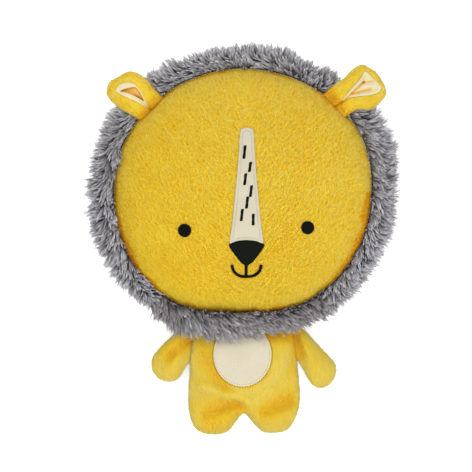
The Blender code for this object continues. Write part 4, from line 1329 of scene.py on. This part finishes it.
ear_shapes = {side: Ear(side, ear) for side, ear in EARS.items()}
for side, shape in ear_shapes.items():
    outer_ring, rim_ring = ray_ring(shape.edge, shape.centre), ray_ring(shape.rim, shape.centre)
    rings = []
    for q in np.linspace(0, 1, 15):
        ring = outer_ring + (rim_ring - outer_ring) * q
        bow = math.sqrt(max(1 - (1 - 1.30 * q) ** 2, 0))
        rings.append(np.column_stack([ring, shape.height(ring, bow) - PILE_SINK * 0.7 * min(4 * q, 1)]))
    band_rings = len(rings)
    lip = rings[-1][:, 2]
    deep = 0.44 if side == "left" else 1.0
    for share, depth in ((0.965, 1.2), (0.93, 2.6), (0.86, 3.9), (0.70, 4.9), (0.50, 5.3), (0.28, 5.4)):
        ring = shape.centre + (rim_ring - shape.centre) * share
        level = np.maximum(lip - depth * deep * MM, shape.under(ring) + 0.6 * MM)
        rings.append(np.column_stack([ring, level]))
    back = []
    for share in (0.97, 0.88, 0.72, 0.5, 0.26):
        ring = shape.centre + (outer_ring - shape.centre) * share
        low = EAR_LOW + shape.dip(ring) + 1 * MM - 2.0 * MM * math.sqrt(1 - share**2)
        back.append(np.column_stack([ring, low]))
    everything = rings + back
    numbers = [np.arange(RAYS) + k * RAYS for k in range(len(everything))]
    inner_tip, back_tip = (*shape.centre, rings[-1][:, 2].mean()), (*shape.centre, EAR_LOW - 1 * MM)
    points = np.vstack([*everything, [inner_tip], [back_tip]])
    outside = [ring_faces(numbers[k], numbers[k + 1]) for k in range(band_rings - 1)]
    hollow = [ring_faces(numbers[k], numbers[k + 1]) for k in range(band_rings - 1, len(rings) - 1)]
    last = numbers[len(rings) - 1]
    hollow.append(np.column_stack([last, np.roll(last, -1), np.full(RAYS, len(everything) * RAYS)]))
    chain = [numbers[0], *numbers[len(rings):]]
    outside += [ring_faces(a, b, True) for a, b in zip(chain, chain[1:])]
    back_number = np.full(RAYS, len(everything) * RAYS + 1)
    outside.append(np.column_stack([np.roll(chain[-1], -1), chain[-1], back_number]))
    outside = np.vstack(outside)
    piece = mesh_from(f"ear_{side}_skin", points, np.vstack([outside, *hollow]), ground_material)
    piece.data.materials.append(knit_back_and_fold_bounce)
    piece.data.polygons.foreach_set("material_index", [0] * len(outside) + [1] * len(np.vstack(hollow)))
    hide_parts(f"ear_{side}_outer")
    shape.attach(piece, "yellow_plush")
    ear_rng = np.random.default_rng(91 if side == "left" else 92)
    place, normal = scatter(points, outside, 3.6e6, ear_rng)
    # Painted shade on the upper side: deep orange at the ear's pinched root and along its crease; the specks
    # are the pile's own
    above = smooth_step(normal[:, 2], -0.3, 0.3)
    near_root = smooth_step(-shape.run(place), -10 * MM, 0) * 0.85 * above
    near_crease = bell(shape.across(place), 2.6 * MM) * above
    near_crease *= smooth_step(-shape.run(place), -13 * MM, -4 * MM)
    specks = np.clip(noise(place, 0.0023, 96) - 0.15, 0, 1) * (0.8 if side == "left" else 0.5)
    piece = pile(f"ear_{side}_pile", place, normal, ear_rng, 0.03 - near_root - 0.25 * near_crease - specks,
                 base_turn=math.atan2(shape.way[1], shape.way[0]), seed=95, length=1.25, width=0.17, lean=0.5,
                 tuft=1.7, pull=0.55, shade=0.45)
    shape.attach(piece, "yellow_plush")

    # Lining: two padded lips round the left ear's fold, and three soft folds in the right ear
    hole = EARS[side].get("hole")
    if hole:
        hole = anticlockwise(rounded(photo_line(hole, EAR_TOP), 0.4 * MM))
    places, faces = plan_mesh(shape.rim, 0.6 * MM, [0.2 * MM, 0.5 * MM, 0.9 * MM], hole)
    to_rim = distance_to(shape.rim, places)
    lip_height = shape.height(places, 0.954)
    if hole is not None:
        to_hole = distance_to(hole, places)
        t = to_rim / np.maximum(to_rim + to_hole, 1e-9)
        near = np.minimum(to_rim, to_hole)
        top = lip_height - 0.5 * MM - 0.6 * MM * t**1.5
        top += 0.75 * MM * domed(near, 1.0 * MM)
        welded = near < WELD
        folds = -2.2 * bell(to_hole, 0.9 * MM) - 1.2 * bell(to_rim, 0.5 * MM)
    else:
        folds = -2.6 * fold_line(places, photo(346, 98.6, EAR_TOP), photo(363.6, 82, EAR_TOP), 0.95 * MM)
        folds -= 1.4 * fold_line(places, photo(363.6, 82, EAR_TOP), photo(364.4, 76, EAR_TOP), 0.8 * MM)
        folds -= 1.9 * fold_line(places, photo(364.5, 82.4, EAR_TOP), photo(373.4, 80.6, EAR_TOP), 0.85 * MM)
        folds -= 2.2 * fold_line(places, photo(353, 93.6, EAR_TOP), photo(370.5, 89.2, EAR_TOP), 1.05 * MM)
        folds += 1.0 * fold_line(places, photo(363, 86, EAR_TOP), photo(378.5, 85.8, EAR_TOP), 1.5 * MM)
        folds += 0.7 * fold_line(places, photo(348, 96, EAR_TOP), photo(362.5, 79, EAR_TOP), 1.2 * MM)
        inwards = np.clip(to_rim / (1.0 * MM), 0, 1)
        top = lip_height - 0.5 * MM + 0.75 * MM * domed(to_rim, 1.0 * MM)
        top += folds * MM * inwards - 1.1 * MM * smooth_step(to_rim, 1 * MM, 4 * MM)
        welded = to_rim < WELD
    # Creases of the cream cloth, and its edges at the left ear's hole, take painted warm bounce light by depth
    fold_depth = -folds[faces].mean(1)
    points, faces = closed_bag(places, faces, top, np.where(welded, top, top - 0.9 * MM), welded)
    piece = mesh_from(f"ear_{side}_cloth", points, faces, ear_cream)
    piece.data.materials.append(ear_fold_bounce)
    piece.data.materials.append(knit_back_and_fold_bounce)
    piece.data.polygons.foreach_set("material_index", np.tile((fold_depth > 0.8).astype(int) + (fold_depth > 1.7), 2))
    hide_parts(f"ear_{side}_lining")
    shape.attach(piece, "cream_cloth")

# The mane

MANE_START, MANE_END = math.radians(-51), math.radians(231)
FUR_LEVELS = 5
TUBE_OFF, TUBE_RISE = 6.4 * MM, 0.6 * MM
# How far the fur reaches past the face, in pixels of the photograph, against the angle in degrees
REACH = [(0, 28), (18, 31), (38, 30), (60, 23), (78, 29), (105, 24), (128, 28), (150, 29.5), (180, 30),
         (195, 28.5), (210, 29.5), (226, 23.5), (238, 25.5), (250, 30), (259, 29.5), (266, 27), (273, 25.5),
         (283, 24), (300, 26), (330, 27.5), (360, 28)]
LOCKS_A_RADIAN, STRANDS_A_LOCK, CLUMP_WIDTH, CLUMP_ROW = 108, 12, 3.1, 0.44


def ring_place(angle, off):
    """A place in plan, a distance out from the face's edge."""
    reach = face_radius(angle) + off
    return np.column_stack([np.cos(angle) * reach, HEAD_Y + np.sin(angle) * reach])


def tube_place(angle, phi):
    """A place on the cloth that the fur grows from; phi turns from outward, 0, through up to inward."""
    plan = ring_place(angle, TUBE_OFF + 6.0 * MM * np.cos(phi))
    return np.column_stack([plan, SEAM_Z + TUBE_RISE + 4.3 * MM * np.sin(phi)])


def fur_ground_piece(name, start, end, steps):
    """The cloth that the fur grows from: a low tube sewn into the head's seam."""
    sides = 14
    turns = np.linspace(start, end, steps)
    round_tube = np.arange(sides) * 2 * np.pi / sides
    points = tube_place(np.repeat(turns, sides), np.tile(round_tube, steps))
    faces = []
    for j in range(steps - 1):
        for k in range(sides):
            m = (k + 1) % sides
            a = j * sides
            faces.append((a + k, a + sides + k, a + sides + m, a + m))
    faces.append(tuple(range(sides)))
    faces.append(tuple((steps - 1) * sides + k for k in reversed(range(sides))))
    return mesh_from(name, points, faces, fur_ground)


def ear_ceiling(points):
    """How high fur may stand at each point: up to an ear's underside where one lies above."""
    ceiling = np.full(len(points), 1.0)
    for shape in ear_shapes.values():
        within = inside(shape.edge, points)
        if within.any():
            deep = distance_to(shape.edge, points[within])
            ceiling[within] = shape.under(points[within]) - 0.4 * MM - 0.3 * deep
    return ceiling


def lock_roots(start, end, generator):
    """Where the locks of one stretch grow: bearing, turn round the tube, place, and the clump of each."""
    locks = int((end - start) * LOCKS_A_RADIAN * 11)
    angle = start + (end - start) * (np.arange(locks) + generator.random(locks)) / locks
    phi = np.radians(-70 + 228 * generator.random(locks) ** 0.9)
    lock_root = tube_place(angle, phi)
    row = np.floor(phi / CLUMP_ROW + 0.30 * generator.random(locks))
    column = np.floor(angle * LOCKS_A_RADIAN / CLUMP_WIDTH + row * 0.37 + 0.30 * generator.random(locks))
    _, clump = np.unique(row * 10000 + column, return_inverse=True)
    return angle, phi, lock_root, clump


def chin_sweep(angle):
    """How far the fur under the chin is swept sideways, in radians."""
    return np.interp(np.degrees(angle), [231, 240, 252, 268, 280, 290, 300, 309],
                     [0.62, 0.75, 0.95, 1.1, 0.9, 0.45, 0.22, 0.16])


def comb(angle, phi, lock_root, clump, side, generator, chin):
    """Which way each lock is combed: outwards and up, with swirls shared by its neighbours."""
    locks, clumps = len(angle), clump.max() + 1
    outward = np.column_stack([np.cos(angle), np.sin(angle), np.zeros(locks)])
    climb = np.where(phi > 0, phi * 0.31, phi * 0.85) + np.radians(6)
    swirl = noise(lock_root, 0.021, 5) * 0.45 + noise(lock_root, 0.0065, 6) * 0.22 + 0.16
    if not chin:
        left = smooth_step(angle, math.radians(40), math.radians(75)) * 2 - 1
        inner = smooth_step(phi, math.radians(50), math.radians(104))
        lower_left = smooth_step(angle, math.radians(200), math.radians(231))
        swirl = swirl + left * inner * (1.05 + 0.6 * noise(lock_root, 0.016, 14)) + 0.5 * lower_left
    else:
        swirl = (swirl - 0.16) * 0.6 + chin_sweep(angle)
    climb = climb + generator.normal(0, 0.13, clumps)[clump] + generator.normal(0, 0.15, locks)
    over = (generator.random(clumps)[clump] < (0.50 if chin else 0.20)) & (phi > math.radians(120))
    climb = climb + over * (0.55 + 0.35 * generator.random(clumps)[clump])
    swirl = swirl + generator.normal(0, 0.20, clumps)[clump] + generator.normal(0, 0.17, locks)
    climb = np.clip(climb, np.radians(-68), np.radians(np.where(over, 122, 86)))
    flat_way = outward * np.cos(swirl)[:, None] + side * np.sin(swirl)[:, None]
    heading = flat_way * np.cos(climb)[:, None]
    heading[:, 2] += np.sin(climb)
    return heading, climb, over


def lock_lengths(angle, lock_root, climb, over, clump, generator, chin):
    """How long each lock is, from how far the fur reaches past the face at its bearing."""
    locks, clumps = len(angle), clump.max() + 1
    knots = np.array(REACH, float)
    reach = np.interp(np.degrees(angle) % 360, knots[:, 0], knots[:, 1]) * PIXEL
    uneven = noise(lock_root, 0.011, 12) * 0.24 + noise(lock_root, 0.0045, 13) * 0.14
    lock_length = (reach - 11.4 * MM) * (0.62 + 0.30 * generator.random(clumps)[clump] + uneven
                                         + 0.46 * generator.random(locks) ** 2.6)
    lock_length *= (0.80 + 0.20 * np.cos(np.clip(climb, 0, 1.5))) * np.where(over, 0.72, 1)
    if chin:
        lock_length *= 1.06 + 0.44 * chin_sweep(angle)
    return lock_length


def fur_paths(angle, phi, lock_root, clump, side, heading, climb, lock_length, start, end, generator):
    """Each strand's path, drawn towards its lock's bent line and its clump's tip, and its lock's number."""
    locks, clumps = len(angle), clump.max() + 1
    curl = np.cross(heading, side)
    bend = generator.normal(0, 0.8, (clumps, 2))[clump] + generator.normal(0, 0.5, (locks, 2))
    bend[:, 1] += 0.35
    lock_tip = lock_root + heading * lock_length[:, None]
    clump_tip = np.zeros((clumps, 3))
    np.add.at(clump_tip, clump, lock_tip)
    clump_tip /= np.bincount(clump)[:, None]

    lock = np.repeat(np.arange(locks), STRANDS_A_LOCK)
    n = len(lock)
    a = np.clip(angle[lock] + generator.normal(0, 0.0038, n), start - 0.006, end + 0.006)
    p = phi[lock] + generator.normal(0, 0.068, n)
    root = tube_place(a, p)
    own = unit(heading[lock] + generator.normal(0, 0.09, (n, 3)), 0)
    guard = generator.random(n) < 0.08
    length = lock_length[lock] * (0.72 + 0.40 * generator.random(n) + 0.26 * guard)
    phase = generator.random(locks) * 2 * np.pi
    paths = np.empty((n, FUR_LEVELS, 3))
    for j in range(FUR_LEVELS):
        t = j / (FUR_LEVELS - 1)
        free = root + own * (length * t)[:, None]
        bent = side * bend[:, :1] + curl * bend[:, 1:]
        tip = lock_root + heading * (lock_length * t)[:, None] + bent * (1.1 * MM * t * t)
        tip = tip + side * (np.sin(phase + 3.5 * t) * 0.30 * MM * t)[:, None]
        tip = tip + (clump_tip[clump] - lock_tip) * (0.36 * t**1.5)
        hold = 0.80 * t**0.7
        paths[:, j] = free * (1 - hold) + tip[lock] * hold
        paths[:, j] += generator.normal(0, 0.07 * MM, (n, 3)) * t
        paths[:, j, 2] -= 1.3 * MM * t * t * np.cos(climb[lock])
    return paths, lock


def keep_clear(paths, generator, chin):
    """Fur stays clear of the face, the ears, the body and the surface it lies on."""
    n = len(paths)
    flat = paths.reshape(-1, 3)
    rel = flat[:, :2] - (0, HEAD_Y)
    turn = np.arctan2(rel[:, 1], rel[:, 0])
    off = np.hypot(rel[:, 0], rel[:, 1])
    edge = face_radius(turn) + (0.5 + 0.5 * generator.random(len(flat))) * MM
    push = np.maximum(edge / off, 1)
    crossing = np.flatnonzero(push > 1)
    above = flat[crossing, 2] > face_top(flat[crossing, 0], flat[crossing, 1]) + 0.5 * MM
    push[crossing[above]] = 1
    flat[:, :2] = (0, HEAD_Y) + rel * push[:, None]
    flat[:, 2] = np.minimum(flat[:, 2], ear_ceiling(flat))
    if chin:
        near = inside(BODY, flat) | (flat[:, 1] < FOLD_Y + 12 * MM)
        lie = body_top(flat[:, 0], flat[:, 1]) + 1.2 * MM
        level = np.tile(np.arange(FUR_LEVELS), n)
        raised = np.maximum(flat[:, 2], np.maximum(lie, 17 * MM))
        flat[:, 2] = np.where(near & (level > 0), raised, flat[:, 2])
    flat[:, 2] = np.maximum(flat[:, 2], 1.0 * MM)
    return flat.reshape(n, FUR_LEVELS, 3)


def fur(name, start, end, generator, chin=False):
    """One stretch of the mane: fine locks gathered in pointed clumps, combed outwards."""
    angle, phi, lock_root, clump = lock_roots(start, end, generator)
    locks, clumps = len(angle), clump.max() + 1
    side = np.column_stack([-np.sin(angle), np.cos(angle), np.zeros(locks)])
    heading, climb, over = comb(angle, phi, lock_root, clump, side, generator, chin)
    lock_length = lock_lengths(angle, lock_root, climb, over, clump, generator, chin)
    paths, lock = fur_paths(angle, phi, lock_root, clump, side, heading, climb, lock_length, start, end,
                            generator)
    paths = keep_clear(paths, generator, chin)
    n = len(paths)
    thick = (0.115 + 0.06 * generator.random(n)) * MM
    shape = np.array([1.0, 1.0, 0.88, 0.6])
    radii = np.concatenate([thick[:, None] * shape[None, :], np.zeros((n, 1))], 1)
    tone = 0.49 + noise(lock_root, 0.011, 9) * 0.12 + generator.normal(0, 0.10, clumps)[clump]
    tone = tone + 0.14 * np.cos(phi) + generator.normal(0, 0.36, locks) - (0.52 if chin else -0.01)
    tones = tone[lock] + generator.normal(0, 0.14, n)
    return strands(name, paths, radii, tones, fur_material)


CHIN_START, CHIN_END = math.radians(231), math.radians(309)
carry(fur_ground_piece("mane_ground", MANE_START, MANE_END, 180), "head", ("mane",))


def stretch_of(start, end, number, count):
    """Where one of so many equal stretches starts and ends."""
    return start + (end - start) * number / count, start + (end - start) * (number + 1) / count


MANE_SECTORS, CHIN_SECTORS = 12, 3
for number in range(MANE_SECTORS):
    low, high = stretch_of(MANE_START, MANE_END, number, MANE_SECTORS)
    piece = fur(f"mane_fur_{number + 1}", low, high, np.random.default_rng(200 + number))
    carry(piece, "head")
piece = fur_ground_piece("chin_ground", CHIN_START, CHIN_END, 60)
carry(piece, "head", ("mane_chin",))
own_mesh(piece)
for number in range(CHIN_SECTORS):
    low, high = stretch_of(CHIN_START, CHIN_END, number, CHIN_SECTORS)
    piece = fur(f"chin_fur_{number + 1}", low, high, np.random.default_rng(300 + number), chin=True)
    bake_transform(piece)

# Floor, light and camera


def seen_directly(tree):
    """1 for what the camera, a reflection or a clear body sees, and 0 for what only lights the scene."""
    path = tree.nodes.new("ShaderNodeLightPath")
    value = path.outputs["Is Camera Ray"]
    for ray in ("Is Glossy Ray", "Is Transmission Ray"):
        either = tree.nodes.new("ShaderNodeMath")
        either.operation = "MAXIMUM"
        tree.links.new(value, either.inputs[0])
        tree.links.new(path.outputs[ray], either.inputs[1])
        value = either.outputs[0]
    return value


def pale_floor():
    """A wide floor with a glow that only the camera sees, so it stays near white beyond its shadows."""
    size = 3.0
    mesh = bpy.data.meshes.new("floor")
    corners = [(-size, -size, 0), (size, -size, 0), (size, size, 0), (-size, size, 0)]
    mesh.from_pydata(corners, [], [(0, 1, 2, 3)])
    floor = link("floor", mesh, smooth=False)
    floor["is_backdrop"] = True
    material, tree, shader = new_material("floor_pale", 0.9)
    shader.inputs["Base Color"].default_value = (0.86, 0.86, 0.86, 1)
    glow = tree.nodes.new("ShaderNodeEmission")
    glow.inputs["Color"].default_value = (1, 1, 1, 1)
    amount = tree.nodes.new("ShaderNodeMath")
    amount.operation = "MULTIPLY"
    amount.inputs[1].default_value = 0.55
    tree.links.new(seen_directly(tree), amount.inputs[0])
    tree.links.new(amount.outputs[0], glow.inputs["Strength"])
    add = tree.nodes.new("ShaderNodeAddShader")
    tree.links.new(shader.outputs[0], add.inputs[0])
    tree.links.new(glow.outputs[0], add.inputs[1])
    tree.links.new(add.outputs[0], tree.nodes["Material Output"].inputs["Surface"])
    floor.data.materials.append(material)


def studio_world():
    """Soft light from all round, shown as plain white."""
    world = bpy.data.worlds.new("studio")
    bpy.context.scene.world = world
    world.use_nodes = True
    tree = world.node_tree
    mixed = tree.nodes.new("ShaderNodeMixShader")
    tree.links.new(seen_directly(tree), mixed.inputs[0])
    for index, colour, strength in ((1, (0.96, 0.98, 1.0, 1), 0.87), (2, (1, 1, 1, 1), 1.0)):
        light = tree.nodes.new("ShaderNodeBackground")
        light.inputs["Color"].default_value = colour
        light.inputs["Strength"].default_value = strength
        tree.links.new(light.outputs[0], mixed.inputs[index])
    tree.links.new(mixed.outputs[0], tree.nodes["World Output"].inputs["Surface"])


def area_light(name, place, target, size, power, colour):
    data = bpy.data.lights.new(name, "AREA")
    data.energy = power
    data.size = size
    data.color = colour
    lamp = bpy.data.objects.new(name, data)
    bpy.context.scene.collection.objects.link(lamp)
    lamp.location = place
    lamp.rotation_mode = "QUATERNION"
    lamp.rotation_quaternion = (Vector(target) - Vector(place)).to_track_quat("-Z", "Y")


pale_floor()
studio_world()
area_light("key", (-0.36, 0.55, 1.40), (0, 0, 0.03), 0.7, 7.2, (1.0, 0.985, 0.96))
area_light("fill", (0.42, -1.00, 1.12), (0, 0, 0.03), 1.0, 9.6, (1.0, 0.99, 0.98))

camera_data = bpy.data.cameras.new("camera")
camera = bpy.data.objects.new("camera", camera_data)
bpy.context.scene.collection.objects.link(camera)
bpy.context.scene.camera = camera
camera_data.lens, camera_data.sensor_width = LENS, SENSOR
camera.location = (*photo(IMAGE / 2, IMAGE / 2), SEAM_Z + CAMERA_RISE)
camera.rotation_euler = (0, 0, 0)
camera_data.clip_start, camera_data.clip_end = 0.01, 20
bpy.context.scene.view_settings.view_transform = "Standard"

low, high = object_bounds()
{"cad": [list(CAD_LOW), list(CAD_HIGH)], "visual": [list(low), list(high)]}
